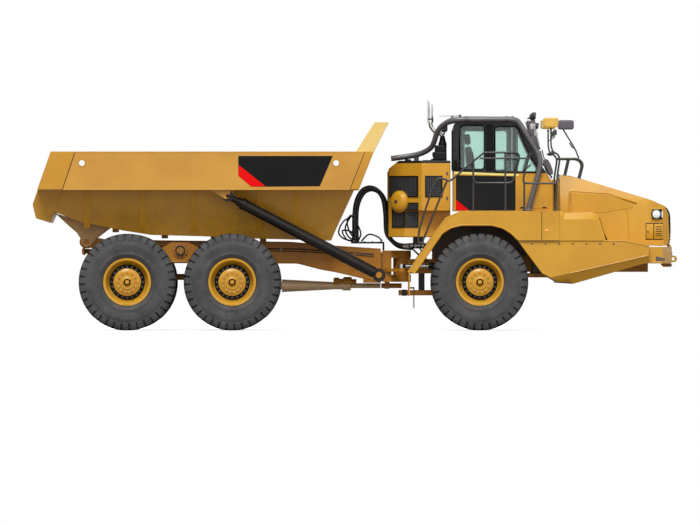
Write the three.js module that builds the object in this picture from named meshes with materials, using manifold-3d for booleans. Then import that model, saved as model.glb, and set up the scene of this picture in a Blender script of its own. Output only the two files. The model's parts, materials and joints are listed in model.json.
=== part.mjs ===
// Articulated dump truck, three axles, millimetres, +X forward, +Y left, +Z up.
// Origin: on the ground under the middle of the machine.
// Heights in the code are measured from the wheel centres, and the whole machine stands on AXLE_HEIGHT.
import * as THREE from 'three';
import { mergeVertices } from 'three/addons/utils/BufferGeometryUtils.js';
import Module from 'manifold-3d';

const wasm = await Module();
wasm.setup();

// ---------------------------------------------------------------- driving dimensions
const GAP = 0.3; // between two pieces that touch
const THRUST_GAP = 0.5; // between two turning faces of one joint
const RUN_GAP = 6; // between pieces that move past each other

const TYRE_RADIUS = 785;
const TYRE_WIDTH = 595;
const TRACK = 2275; // between the middles of the tyres
const BEAD_RADIUS = 345;
const BEAD_HALF = 225;
const FLANGE_RADIUS = 388;
const WHEEL_SIDES = 20;

const PIVOT_X = 758; // upright steering axis
const FRONT_WHEELBASE = 1258; // steering axis to front axle
const MIDDLE_WHEELBASE = 2750; // steering axis to middle axle
const TANDEM_GAP = 130; // between the middle and rear tyres
const TILT_X = -5132; // tilt hinge of the dump body, from the steering axis
const TILT_Z = 655;
const ROLL_Z = 258; // roll axis of the rear frame

const DECK_Z = 1153; // top of the fenders
const FENDER_INNER = 740;
const FENDER_OUTER = 1430;
const CAB_HALF = 790;
const CAB_WALL = 60;
const HOOD_HALF = 900;
const HOOD_WALL = 45;

const RAIL_INNER = 230; // front frame rails
const RAIL_OUTER = 320;
const RAIL_BOTTOM = 165;
const RAIL_TOP = 465;
const REAR_RAIL_INNER = 300;
const REAR_RAIL_OUTER = 400;

const KING_PIN_RADIUS = 80;
const NOSE_RADIUS = 140;
const ARM_RADIUS = 150;
const ROLL_RADIUS = 170;
const STEER_EYE_Y = 450;
const STEER_BORE = 32;
const STEER_TRAVEL = STEER_EYE_Y * Math.SQRT1_2;

const HOIST_PIN_RADIUS = 50;
const HOIST_BARREL_RADIUS = 90;
const HOIST_STAGE_RADIUS = 73;
const HOIST_ROD_RADIUS = 53;
const HOIST_LOW = [-373, 700, 115]; // lower eye, from the steering axis, left side
const HOIST_HIGH = [-2821, 1230, 1395]; // upper eye of the lowered hoist
const TILT_PIN_RADIUS = 45;

const BODY_FLOOR_HALF = 770; // dump body, outside
const BODY_WAIST_HALF = 1060;
const BODY_RAIL_HALF = 1380;
const BODY_WALL = 42;
const BODY_RAIL_BOTTOM = 840; // heights over the tilt hinge
const BODY_TOP = 1460;
const GUARD_SEAT = 3; // depth of the flat that the spill guard stands on, below the rails' tops
const GUARD_BACK = 4384; // back end of the spill guard

const RAIL_TUBE = 20; // handrail radius

const AXLE_HEIGHT = TYRE_RADIUS;
const REAR_AXLE_X = -(MIDDLE_WHEELBASE + 2 * TYRE_RADIUS + TANDEM_GAP);
const WHEEL_Y = TRACK / 2;
const SIDES = [['left', 1], ['right', -1]];

// ---------------------------------------------------------------- solids from three.js geometry
function solid(geometry) {
  const bare = geometry.clone();
  bare.deleteAttribute('normal');
  bare.deleteAttribute('uv');
  const merged = mergeVertices(bare, 1e-3);
  const position = merged.attributes.position;
  const index = merged.index.array;
  const faces = [];
  for (let i = 0; i < index.length; i += 3) {
    const [a, b, c] = [index[i], index[i + 1], index[i + 2]];
    if (a !== b && b !== c && c !== a) faces.push([a, b, c]);
  }
  const corner = (i) => new THREE.Vector3().fromBufferAttribute(position, i);
  const volume = faces.reduce((sum, [a, b, c]) => sum + corner(a).dot(corner(b).cross(corner(c))), 0);
  const triVerts = Uint32Array.from(faces.flatMap(([a, b, c]) => (volume < 0 ? [a, c, b] : [a, b, c])));
  return new wasm.Manifold(new wasm.Mesh({
    numProp: 3, vertProperties: Float32Array.from(position.array), triVerts,
  }));
}

function geometryOf(body) {
  const mesh = body.getMesh();
  const geometry = new THREE.BufferGeometry();
  geometry.setAttribute('position', new THREE.BufferAttribute(Float32Array.from(mesh.vertProperties), 3));
  geometry.setIndex(new THREE.BufferAttribute(Uint32Array.from(mesh.triVerts), 1));
  return geometry;
}

function mirrored(body) {
  const geometry = geometryOf(body);
  geometry.scale(1, -1, 1);
  return solid(geometry);
}

const join = (...bodies) => bodies.flat().reduce((whole, piece) => whole.add(piece));
const cut = (body, ...tools) => tools.flat().reduce((left, tool) => left.subtract(tool), body);
const both = (make) => [make(1), make(-1)];

function extruded(points, depth, matrix) {
  const outline = new THREE.Shape(points.map(([u, v]) => new THREE.Vector2(u, v)));
  const geometry = new THREE.ExtrudeGeometry(outline, { depth, bevelEnabled: false });
  return solid(geometry.applyMatrix4(matrix));
}

const basis = (x, y, z, origin) => new THREE.Matrix4()
  .makeBasis(new THREE.Vector3(...x), new THREE.Vector3(...y), new THREE.Vector3(...z))
  .setPosition(...origin);

// an outline of (x, z) points, drawn out from y0 to y1
const side = (points, y0, y1) => extruded(points, Math.abs(y1 - y0),
  basis([1, 0, 0], [0, 0, 1], [0, -1, 0], [0, Math.max(y0, y1), 0]));
// an outline of (y, z) points, drawn out from x0 to x1
const section = (points, x0, x1) => extruded(points, x1 - x0,
  basis([0, 1, 0], [0, 0, 1], [1, 0, 0], [x0, 0, 0]));
// an outline of (x, y) points, drawn out from z0 to z1
const plan = (points, z0, z1) => extruded(points, z1 - z0,
  basis([1, 0, 0], [0, 1, 0], [0, 0, 1], [0, 0, z0]));

function block(x0, x1, y0, y1, z0, z1) {
  const geometry = new THREE.BoxGeometry(Math.abs(x1 - x0), Math.abs(y1 - y0), Math.abs(z1 - z0));
  return solid(geometry.translate((x0 + x1) / 2, (y0 + y1) / 2, (z0 + z1) / 2));
}

function rod(from, to, radius, sides = 16, endRadius = radius) {
  const start = new THREE.Vector3(...from);
  const run = new THREE.Vector3(...to).sub(start);
  const geometry = new THREE.CylinderGeometry(endRadius, radius, run.length(), sides);
  geometry.translate(0, run.length() / 2, 0);
  const turn = new THREE.Quaternion().setFromUnitVectors(new THREE.Vector3(0, 1, 0), run.clone().normalize());
  return solid(geometry.applyQuaternion(turn).translate(...from));
}

// a path of straight stretches, with its sections square to the mean direction at each corner
class Corners extends THREE.Curve {
  constructor(points) {
    super();
    this.points = points.map((point) => new THREE.Vector3(...point));
  }

  getPoint(t) {
    const place = t * (this.points.length - 1);
    const i = Math.min(Math.floor(place + 1e-6), this.points.length - 2);
    return this.points[i].clone().lerp(this.points[i + 1], place - i);
  }

  getPointAt(t) {
    return this.getPoint(t);
  }

  getTangentAt(t) {
    const last = this.points.length - 1;
    const i = Math.round(t * last);
    const run = (a) => this.points[a + 1].clone().sub(this.points[a]).normalize();
    return run(Math.max(i - 1, 0)).add(run(Math.min(i, last - 1))).normalize();
  }
}

// round tube through (x, y, z) points
function pipe(points, radius, sides = 6) {
  const ring = new THREE.Shape(circle(0, 0, radius, sides).map(([u, v]) => new THREE.Vector2(u, v)));
  const settings = { steps: points.length - 1, bevelEnabled: false, extrudePath: new Corners(points) };
  return solid(new THREE.ExtrudeGeometry(ring, settings));
}

// round bar through (x, z) points at one y
const bar = (points, y, radius = RAIL_TUBE, sides = 6) => pipe(points.map(([x, z]) => [x, y, z]), radius,
  sides);

function turned(profile, sides, at = [0, 0, 0], start = 0) {
  const points = profile.map(([r, y]) => new THREE.Vector2(r, y));
  return solid(new THREE.LatheGeometry(points, sides, start).translate(...at));
}

// moves each edge of a closed outline inwards (or outwards, below zero) by one distance
function inset(points, distance) {
  const area = points.reduce((sum, [x, y], i) => {
    const [u, v] = points[(i + 1) % points.length];
    return sum + x * v - u * y;
  }, 0);
  const move = area > 0 ? distance : -distance;
  const edge = (i) => {
    const [x, y] = points[(i + points.length) % points.length];
    const [u, v] = points[(i + 1) % points.length];
    const length = Math.hypot(u - x, v - y);
    return { x: x - ((v - y) / length) * move, y: y + ((u - x) / length) * move, dx: u - x, dy: v - y };
  };
  return points.map((point, i) => {
    const a = edge(i - 1);
    const b = edge(i);
    const cross = a.dx * b.dy - a.dy * b.dx;
    const t = ((b.x - a.x) * b.dy - (b.y - a.y) * b.dx) / cross;
    return [a.x + a.dx * t, a.y + a.dy * t];
  });
}

const circle = (x, z, radius, sides) => Array.from({ length: sides }, (unused, i) => {
  const angle = ((i + 0.5) * 2 * Math.PI) / sides;
  return [x + radius * Math.cos(angle), z + radius * Math.sin(angle)];
});

// ---------------------------------------------------------------- finishes and the scene graph
const YELLOW = { color: 0xc89a38, roughness: 0.45, metalness: 0.1 };
const DARK_GREY = { color: 0x555252, roughness: 0.55, metalness: 0.3 };
const BLACK = { color: 0x1e1e1e, roughness: 0.5, metalness: 0.1 };
const RUBBER = { color: 0x4e4c4e, roughness: 0.85, metalness: 0 };
const GLASS = { color: 0xa5c6bb, roughness: 0.08, metalness: 0, transparent: true, opacity: 0.4 };
const STEEL = { color: 0xb8b8b8, roughness: 0.25, metalness: 0.9 };
const SEAT_CLOTH = { color: 0x2b2b2e, roughness: 0.9, metalness: 0 };

const machine = new THREE.Group();
machine.position.set(PIVOT_X, 0, AXLE_HEIGHT);
const tractor = new THREE.Group();
tractor.position.x = FRONT_WHEELBASE;
const trailer = new THREE.Group();
const tipper = new THREE.Group();
tipper.position.set(TILT_X, 0, TILT_Z);
machine.add(tractor, trailer, tipper);

function part(parent, name, body, finish) {
  const mesh = new THREE.Mesh(geometryOf(body), new THREE.MeshStandardMaterial(finish));
  mesh.name = name;
  parent.add(mesh);
  return mesh;
}

const onSide = (body, sign) => (sign > 0 ? body : mirrored(body));

// ---------------------------------------------------------------- wheels
const TYRE_OUT = TYRE_RADIUS / Math.cos(Math.PI / WHEEL_SIDES); // corners of the tread outline
const HALF_STEP = Math.PI / WHEEL_SIDES;
const DISC_INNER = 20; // inner face of the rim's disc, from the wheel's middle
const HUB_RADIUS = 220;

function tyreProfile() {
  const half = TYRE_WIDTH / 2;
  const right = [[BEAD_RADIUS, BEAD_HALF], [FLANGE_RADIUS + 4, BEAD_HALF + 3],
    [FLANGE_RADIUS + 82, half - 12],
    [TYRE_OUT - 165, half], [TYRE_OUT - 75, half - 7], [TYRE_OUT, half - 35]];
  const left = right.map(([r, y]) => [r, -y]).reverse();
  return [...right, ...left, right[0]];
}

function rimProfile() {
  const base = BEAD_RADIUS - GAP;
  const well = base - 20;
  return [[0, 210], [HUB_RADIUS, 180], [HUB_RADIUS, 70], [276, 70], [well, 160],
    [well, BEAD_HALF + 25], [FLANGE_RADIUS, BEAD_HALF + 25], [FLANGE_RADIUS, BEAD_HALF + 3 + GAP],
    [base, BEAD_HALF + GAP], [base, -BEAD_HALF - GAP], [FLANGE_RADIUS, -BEAD_HALF - 3 - GAP],
    [FLANGE_RADIUS, -BEAD_HALF - 25], [well, -BEAD_HALF - 25], [well, DISC_INNER], [0, DISC_INNER]];
}

function wheels(parent, axleName, x) {
  for (const [name, sign] of SIDES) {
    const place = new THREE.Group();
    place.position.set(x, sign * WHEEL_Y, 0);
    parent.add(place);
    const tyre = turned(tyreProfile(), WHEEL_SIDES, [0, 0, 0], HALF_STEP);
    part(place, `tyre_${axleName}_${name}`, onSide(tyre, sign), RUBBER);
    const rim = turned(rimProfile(), WHEEL_SIDES, [0, 0, 0], HALF_STEP);
    part(place, `rim_${axleName}_${name}`, onSide(rim, sign), YELLOW);
  }
}

const AXLE_TUBE = 110;
const DIFFERENTIAL_RADIUS = 230;
const HUB_INNER = WHEEL_Y - TYRE_WIDTH / 2 - 80; // inner face of the wheel drive on the axle

function axleHousing(x, grow = 0) {
  const end = WHEEL_Y + DISC_INNER - THRUST_GAP;
  const half = [[AXLE_TUBE + grow, DIFFERENTIAL_RADIUS], [AXLE_TUBE + grow, HUB_INNER], [200, HUB_INNER],
    [200, WHEEL_Y - 60], [120, WHEEL_Y - 60], [120, end], [0, end]];
  const bulb = [DIFFERENTIAL_RADIUS + grow, 110];
  const mirror = [...half].reverse().map(([r, y]) => [r, -y]);
  return turned([...mirror, [bulb[0], -bulb[1]], bulb, ...half], 12, [x, 0, 0]);
}

// ---------------------------------------------------------------- front frame and its load
const HITCH_X = -FRONT_WHEELBASE; // steering axis, from the front axle
const REAR_BEAM_X = HITCH_X + 492;
const BUMPER_BACK = 2746;
const ENGINE_X = [934, 2434];
const ENGINE_HALF = 350;
const NOSE_BOTTOM = 120;
const NOSE_TOP = 395;
const COOLER_BOTTOM = 731;
const COOLER_TOP = 1971;
const STRUT_Y = 560;
const TOWER_Z = 656;
const SKIRT_INNER = 900;
const CAB_MOUNTS = [-316, 684];

function frontFrame() {
  const rails = both((s) => block(REAR_BEAM_X, BUMPER_BACK - GAP, s * RAIL_INNER, s * RAIL_OUTER,
    RAIL_BOTTOM, RAIL_TOP));
  const beam = block(REAR_BEAM_X, REAR_BEAM_X + 100, -RAIL_OUTER, RAIL_OUTER, NOSE_BOTTOM + 20, RAIL_TOP);
  const cross = [900, 2600].map((x) => block(x, x + 90, -RAIL_OUTER, RAIL_OUTER, RAIL_BOTTOM, RAIL_TOP - 60));
  const nose = join(
    rod([HITCH_X, 0, NOSE_BOTTOM + THRUST_GAP], [HITCH_X, 0, NOSE_TOP - THRUST_GAP], NOSE_RADIUS, 32),
    block(HITCH_X, REAR_BEAM_X + 5, -105, 105, NOSE_BOTTOM + 20, NOSE_TOP - 20),
  );
  const coolerFoot = block(HITCH_X + 542, HITCH_X + 742, -RAIL_OUTER, RAIL_OUTER, RAIL_TOP - 5,
    COOLER_BOTTOM - GAP);
  const cabMounts = CAB_MOUNTS.flatMap((x) => both((s) => join(
    block(x, x + 100, s * RAIL_INNER, s * RAIL_OUTER, RAIL_TOP - 5, DECK_Z),
    block(x, x + 100, s * RAIL_INNER, s * (FENDER_INNER - GAP), DECK_Z - 90, DECK_Z - 38),
  )));
  const towers = both((s) => join(
    block(-80, 80, s * (RAIL_OUTER - 5), s * (RAIL_OUTER + 40), RAIL_BOTTOM, TOWER_Z + 80),
    block(-80, 80, s * RAIL_OUTER, s * (STRUT_Y + 80), TOWER_Z, TOWER_Z + 80),
  ));
  const outriggers = both((s) => block(1284, 1384, s * (RAIL_OUTER - 5), s * (SKIRT_INNER - GAP), 215, 415));
  const steerLugs = both((s) => block(-316, -216, s * (RAIL_OUTER - 5), s * (STEER_BARREL_Y - 30), 225, 295));
  const pinHole = rod([HITCH_X, 0, 0], [HITCH_X, 0, 600], KING_PIN_RADIUS + 2, 32);
  return cut(join(rails, beam, cross, nose, coolerFoot, cabMounts, towers, outriggers, steerLugs),
    pinHole, both((s) => steerBarrelSleeve(s, GAP)));
}

function frontAxle() {
  const struts = both((s) => join(
    rod([0, s * STRUT_Y, 60], [0, s * STRUT_Y, 380], 75, 16),
    rod([0, s * STRUT_Y, 370], [0, s * STRUT_Y, TOWER_Z - GAP], 58, 16),
  ));
  return join(axleHousing(0), struts);
}

function bumper() {
  const outline = [[BUMPER_BACK, 311], [BUMPER_BACK + 60, 302], [3100, 302], [3118, 330], [3118, 571],
    [BUMPER_BACK, 571]];
  const blade = side(outline, -1250, 1250);
  const corner = both((s) => plan([[3118.5, s * 900], [3118.5, s * 1251], [2960, s * 1251]], 290, 580));
  const eyes = both((s) => cut(
    join(side(circle(3163, 376, 55, 16), s * 425, s * 475), block(3100, 3162, s * 425, s * 475, 322, 430)),
    side(circle(3163, 376, 33, 16), s * 420, s * 480),
  ));
  const hinges = both((s) => join(
    block(HOOD_HINGE_X - 16, HOOD_HINGE_X + 16, s * 480, s * 520, 560, HOOD_HINGE_Z),
    side(circle(HOOD_HINGE_X, HOOD_HINGE_Z, 18, 12), s * 480, s * 520),
  ));
  return join(cut(blade, corner), eyes, hinges);
}

// steering cylinders: the barrel is fixed to the frame, the rod slides with the steering
const STEER_BARREL_Y = 384;
const STEER_Z = 260;
const STEER_BARREL_RADIUS = 55;
const STEER_ANCHOR = [-258, STEER_BARREL_Y, STEER_Z];
const STEER_EYE = [HITCH_X, STEER_EYE_Y, STEER_Z];

function steerPoint(s, travel) {
  const from = new THREE.Vector3(STEER_ANCHOR[0], s * STEER_ANCHOR[1], STEER_ANCHOR[2]);
  const to = new THREE.Vector3(STEER_EYE[0], s * STEER_EYE[1], STEER_EYE[2]);
  return to.add(from.sub(to).setLength(travel)).toArray();
}

const steerBarrelSleeve = (s, grow) => rod(steerPoint(s, STEER_TRAVEL + 112), steerPoint(s, 1165),
  STEER_BARREL_RADIUS + grow, 16);

function steerBarrel(s) {
  const bore = rod(steerPoint(s, STEER_TRAVEL + 90), steerPoint(s, 1145), STEER_BORE + THRUST_GAP, 16);
  return cut(steerBarrelSleeve(s, 0), bore);
}

function steerRod(s) {
  const [x, y] = STEER_EYE;
  const eye = rod([x, s * y, STEER_Z - 33], [x, s * y, STEER_Z + 33], 65, 16);
  return cut(join(eye, rod(steerPoint(s, 40), steerPoint(s, 800), STEER_BORE, 16)),
    rod([x, s * y, STEER_Z - 60], [x, s * y, STEER_Z + 60], 30, 12));
}

// ---------------------------------------------------------------- fenders and side skirts
const ARCH = [[-(TYRE_RADIUS + 259), 139], [-(TYRE_RADIUS - 188), TYRE_RADIUS - 1],
  [-(TYRE_RADIUS - 320), TYRE_RADIUS + 81], [-(TYRE_RADIUS - 485), TYRE_RADIUS + 123],
  [TYRE_RADIUS - 589, TYRE_RADIUS + 123], [TYRE_RADIUS - 424, TYRE_RADIUS + 81],
  [TYRE_RADIUS - 291, TYRE_RADIUS - 1], [TYRE_RADIUS - 175, 671]];
const FENDER_FRONT = 1290;
const FENDER_OUTLINE = [...ARCH, [FENDER_FRONT, 671], [FENDER_FRONT, DECK_Z], [-(TYRE_RADIUS - 485), DECK_Z],
  [-(TYRE_RADIUS - 237), DECK_Z - 103], [-(TYRE_RADIUS - 106), DECK_Z - 286], [-(TYRE_RADIUS + 374), 173]];
const FENDER_TAIL_INNER = 1100; // the tail of the fender is narrower, so that the hoist passes inside it
const FENDER_TAIL_TOP = 560;
const FLAP_X = -(TYRE_RADIUS + 367);

function fender(s) {
  const shell = side(FENDER_OUTLINE, s * FENDER_INNER, s * FENDER_OUTER);
  const flap = block(FLAP_X, FLAP_X + 20, s * FENDER_TAIL_INNER, s * FENDER_OUTER, -225, 200);
  const hoistRoom = block(-(TYRE_RADIUS + 400), -(TYRE_RADIUS - 200), s * (FENDER_INNER - 10),
    s * FENDER_TAIL_INNER,
    -300, FENDER_TAIL_TOP);
  return join(cut(shell, hoistRoom), flap);
}

const SKIRT_OUTLINE = [[TYRE_RADIUS - 175, 671 - GAP], [2353, 671 - GAP], [2740, 587],
  [BUMPER_BACK - GAP, 311],
  [2653, 297], [TYRE_RADIUS + 721, -29], [TYRE_RADIUS + 502, -15], [TYRE_RADIUS + 286, 110],
    [TYRE_RADIUS + 223, 139]];
const skirt = (s) => side(SKIRT_OUTLINE, s * SKIRT_INNER, s * (FENDER_OUTER - 30));

// ---------------------------------------------------------------- cab
const CAB_BACK = -427;
const CAB_TOP = 2655;
const CAB_OUTLINE = [[CAB_BACK, DECK_Z + GAP], [CAB_BACK, CAB_TOP - 140], [CAB_BACK + 61, CAB_TOP],
  [584, CAB_TOP], [664, CAB_TOP - 80], [862, 2114], [1189, 1623], [1189, DECK_Z + GAP]];
const SILL_Z = 1827;
const HEAD_Z = 2547;
const REAR_SIDE_WINDOW = [[-321, SILL_Z], [82, SILL_Z], [82, HEAD_Z], [-270, HEAD_Z], [-321, HEAD_Z - 60]];
const FRONT_SIDE_WINDOW = [[248, SILL_Z - 42], [985, SILL_Z - 42], [975, 1815], [790, 2114],
  [610, HEAD_Z - 20], [248, HEAD_Z - 20]];
const QUARTER_WINDOW = [[632, SILL_Z - 42], [985, SILL_Z - 42], [975, 1815], [790, 2114], [640, 2460],
  [632, 2460]];
const DOOR_OPENING = [[-332, DECK_Z + 67], [550, DECK_Z + 67], [550, HEAD_Z + 13], [-332, HEAD_Z + 13]];
const DOOR_WINDOW = [[-240, SILL_Z], [470, SILL_Z], [470, 2480], [-240, 2480]];
const DOOR_HINGE = [-336, CAB_HALF + 16];
const DOOR_KNUCKLES = [1400, 2300];
const KNUCKLE_RADIUS = 14;
const PANE = 6;

function cabShell() {
  const outer = side(CAB_OUTLINE, -CAB_HALF, CAB_HALF);
  const inner = side(inset(CAB_OUTLINE, CAB_WALL), -CAB_HALF + CAB_WALL, CAB_HALF - CAB_WALL);
  const wall = (outline, s) => side(outline, s * (CAB_HALF - CAB_WALL - 5), s * (CAB_HALF + 5));
  const rearWindow = block(CAB_BACK - 20, CAB_BACK + CAB_WALL + 20, -600, 600, SILL_Z, 2470);
  const glazing = side([[600, HEAD_Z], [760, HEAD_Z], [960, 2114], [1320, 1640], [1080, 1640], [760, 2114]],
    -CAB_HALF + 70, CAB_HALF - 70);
  const knuckles = DOOR_KNUCKLES.map((z) => join(
    rod([DOOR_HINGE[0], DOOR_HINGE[1], z + 60 + THRUST_GAP], [DOOR_HINGE[0], DOOR_HINGE[1], z + 120],
      KNUCKLE_RADIUS, 12),
    block(DOOR_HINGE[0] - 50, DOOR_HINGE[0], CAB_HALF - 5, DOOR_HINGE[1] + 6, z + 62, z + 118),
  ));
  return join(cut(outer, inner, wall(REAR_SIDE_WINDOW, -1), wall(FRONT_SIDE_WINDOW, -1),
    wall(QUARTER_WINDOW, 1),
    wall(DOOR_OPENING, 1), rearWindow, glazing), knuckles);
}

function cabDoor() {
  const leaf = side(inset(DOOR_OPENING, RUN_GAP), CAB_HALF - CAB_WALL + 5, CAB_HALF);
  const window = side(DOOR_WINDOW, CAB_HALF - CAB_WALL, CAB_HALF + 5);
  const knuckles = DOOR_KNUCKLES.map((z) => join(
    rod([DOOR_HINGE[0], DOOR_HINGE[1], z], [DOOR_HINGE[0], DOOR_HINGE[1], z + 60], KNUCKLE_RADIUS, 12),
    block(DOOR_HINGE[0], DOOR_HINGE[0] + 40, CAB_HALF + RUN_GAP, DOOR_HINGE[1] + 6, z + 2, z + 58),
    block(DOOR_HINGE[0] + 16, DOOR_HINGE[0] + 40, CAB_HALF - 5, DOOR_HINGE[1], z + 2, z + 58),
  ));
  return join(cut(leaf, window), knuckles);
}

const paneBehind = (outline, face, s) => side(outline, s * (face - GAP), s * (face - GAP - PANE))
  .intersect(side(inset(CAB_OUTLINE, CAB_WALL + GAP), -CAB_HALF, CAB_HALF));
const INNER_FACE = CAB_HALF - CAB_WALL;

const rearGlass = () => block(CAB_BACK + CAB_WALL + GAP, CAB_BACK + CAB_WALL + GAP + PANE,
  -625, 625, SILL_Z - 25, 2495);

function windscreen() {
  const line = [[640, 2540], [664, 2500], [852, 2090], [1125, 1680]];
  const strip = [...line, ...[...line].reverse().map(([x, z]) => [x - PANE, z - 4])];
  return side(strip, -CAB_HALF + 70 + GAP, CAB_HALF - 70 - GAP);
}

function ropsFrame() {
  const y = CAB_HALF + 60;
  const leg = both((s) => bar([[560, CAB_TOP + 50], [625, CAB_TOP + 20], [1018, 1984], [791, DECK_Z + 20]],
    s * y, 48, 8));
  const foot = both((s) => block(741, 841, s * (y - 45), s * (y + 60), DECK_Z + GAP, DECK_Z + 40));
  const roof = both((s) => bar([[560, CAB_TOP + 50], [-469, CAB_TOP + 50]], s * y, 48, 8));
  const across = [540, -440].map((x) => rod([x, -y, CAB_TOP + 50], [x, y, CAB_TOP + 50], 48, 8));
  const tail = both((s) => pipe([[-469, y, CAB_TOP + 50], [-600, y - 120, 2586], [-684, y - 220, 2453],
    [-725, y - 300, 2295], [-775, y - 380, 2180], [-978, 330, 2072], [-1430, 300, 2010]]
    .map(([x, v, z]) => [x, s * v, z]), 40, 8));
  const saddle = both((s) => block(-1060, -980, s * 290, s * 350, COOLER_TOP + GAP, 2072));
  return join(leg, foot, roof, across, tail, saddle);
}

function seat() {
  const floor = DECK_Z + CAB_WALL + 2 * GAP;
  return join(
    block(-60, 300, -180, 180, floor, floor + 260),
    block(-120, 400, -260, 260, floor + 250, floor + 400),
    side([[-190, floor + 330], [-60, floor + 330], [-110, floor + 1000], [-220, floor + 1000]], -240, 240),
    side([[-215, floor + 990], [-125, floor + 990], [-150, floor + 1200], [-225, floor + 1200]], -140, 140),
  );
}

function console() {
  const floor = DECK_Z + CAB_WALL + 2 * GAP;
  const dash = side([[1020, floor], [1128, floor], [1128, 1560], [900, 1640], [860, 1560], [960, 1500]],
    -560, 560);
  const column = rod([900, 0, 1550], [686, 0, 1776], 35, 10);
  const wheel = solid(new THREE.TorusGeometry(200, 16, 6, 20).rotateY(-0.75).translate(690, 0, 1771));
  const spokes = both((s) => rod([690, 0, 1771], [690, s * 200, 1771], 12, 6));
  return join(dash, column, wheel, spokes);
}

// ---------------------------------------------------------------- cooling box, exhaust and intake
const COOLER_BACK = HITCH_X - 219;
const COOLER_FRONT = -472;

function coolingBox() {
  const profile = side([[COOLER_BACK, COOLER_BOTTOM], [COOLER_FRONT, COOLER_BOTTOM],
    [COOLER_FRONT, COOLER_TOP],
    [COOLER_BACK + 167, COOLER_TOP], [COOLER_BACK, COOLER_TOP - 131]], -1000, 1000);
  const footprint = plan([[COOLER_BACK, -480], [COOLER_BACK + 527, -1000], [COOLER_FRONT, -1000],
    [COOLER_FRONT, 1000], [COOLER_BACK + 527, 1000], [COOLER_BACK, 480]], COOLER_BOTTOM - 10,
      COOLER_TOP + 10);
  const besideFenders = both((s) => block(COOLER_BACK - 10, COOLER_FRONT + 10, s * (FENDER_INNER - GAP),
    s * 1010,
    COOLER_BOTTOM - 10, DECK_Z + GAP));
  return cut(profile.intersect(footprint), besideFenders);
}

function exhaustStack() {
  const y = -500;
  return join(
    rod([-598, y, COOLER_TOP + GAP], [-598, y, 2260], 69, 16),
    rod([-598, y, 2255], [-598, y, 2384], 69, 16, 35),
    pipe([[-598, y, 2376], [-640, y, 2420], [-730, y, 2450], [-790, y, 2530], [-796, y, 2600]], 34, 10),
    rod([-796, y, 2590], [-796, y, 2968], 48, 12),
  );
}

function intakeBowl() {
  const at = [-681, 300, COOLER_TOP + GAP];
  return join(
    rod(at, [at[0], at[1], at[2] + 40], 105, 16),
    rod([at[0], at[1], at[2] + 35], [at[0], at[1], at[2] + 70], 50, 12),
    rod([at[0], at[1], at[2] + 65], [at[0], at[1], at[2] + 148], 62, 16, 79),
  );
}

// ---------------------------------------------------------------- handrails and mirrors
const HANDRAIL_Y = FENDER_OUTER - 30;
const STEP_RAIL = [[840, 2093], [797, 2047], [698, 1660], [719, 1598], [1236, 1598]];
const FRONT_LOOP = [[1125, 2093], [1238, 2093], [1298, 2012], [1254, 1736], [1214, DECK_Z + GAP]];
const grownFender = (s) => side(inset(FENDER_OUTLINE, -GAP), s * (FENDER_INNER - 10),
  s * (FENDER_OUTER + 10));

const GRAB_FOOT_X = -(TYRE_RADIUS + 214); // behind the slope of the fender tail

function grabRail(s) {
  const heel = [GRAB_FOOT_X, 634];
  const toe = [GRAB_FOOT_X + 65, 634];
  return join(
    bar([heel, [GRAB_FOOT_X + 17, 861], [-756, 1558], [-675, 1696], [-529, 1655]], s * HANDRAIL_Y),
    bar([[-529, 1660], toe], s * HANDRAIL_Y),
    bar([heel, toe, [GRAB_FOOT_X + 199, 592]], s * HANDRAIL_Y),
  );
}

const stepRail = (s) => join(
  bar(STEP_RAIL, s * HANDRAIL_Y), bar(FRONT_LOOP, s * HANDRAIL_Y),
    bar([[719, 1610], [719, DECK_Z + GAP]], s * HANDRAIL_Y),
);

function handrailRight() {
  const y = -HANDRAIL_Y;
  const deckRail = join(
    bar([[71, 2098], [606, 2098], [646, 2028], [530, 1605], [-107, 1605], [-107, 1979]], y),
    bar([[71, 2098], [-200, 1882], [-465, 1639], [-529, 1645]], y),
    bar([[412, 2098], [412, DECK_Z + GAP]], y),
    bar([[-107, 1610], [-107, DECK_Z + GAP]], y),
    bar([[0, 2004], [792, 2004]], y),
  );
  return cut(join(deckRail, grabRail(-1), stepRail(-1)), grownFender(-1));
}

const handrailLeft = () => cut(stepRail(1), grownFender(1));
const grabRailLeft = () => cut(grabRail(1), grownFender(1));

function mirror(s) {
  const y = s * HANDRAIL_Y;
  const clamp = block(1150, 1210, y - 32, y + 32, 2066, 2128);
  const arm = bar([[1180, 2120], [1150, 2206], [1150, 2495]], y, 14);
  const head = block(1016, 1282, y - 60, y + 60, 2488, 2671);
  return cut(join(clamp, arm, head), bar(FRONT_LOOP, y, RAIL_TUBE + GAP));
}

// ---------------------------------------------------------------- hood
const HOOD_HINGE_X = 3094;
const HOOD_HINGE_Z = 590;
const HOOD_OUTLINE = [[1300, 1746], [1630, 1675], [2282, 1478], [2644, 1370], [2846, 1305], [3005, 1234],
  [3063, 1117],
  [3084, 712], [3063, 624], [3005, 588], [2744, 595], [2353, 676], [2080, 676], [1919, 1029], [1819, 1094],
  [1378, 1108], [1312, 1165]];

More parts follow.
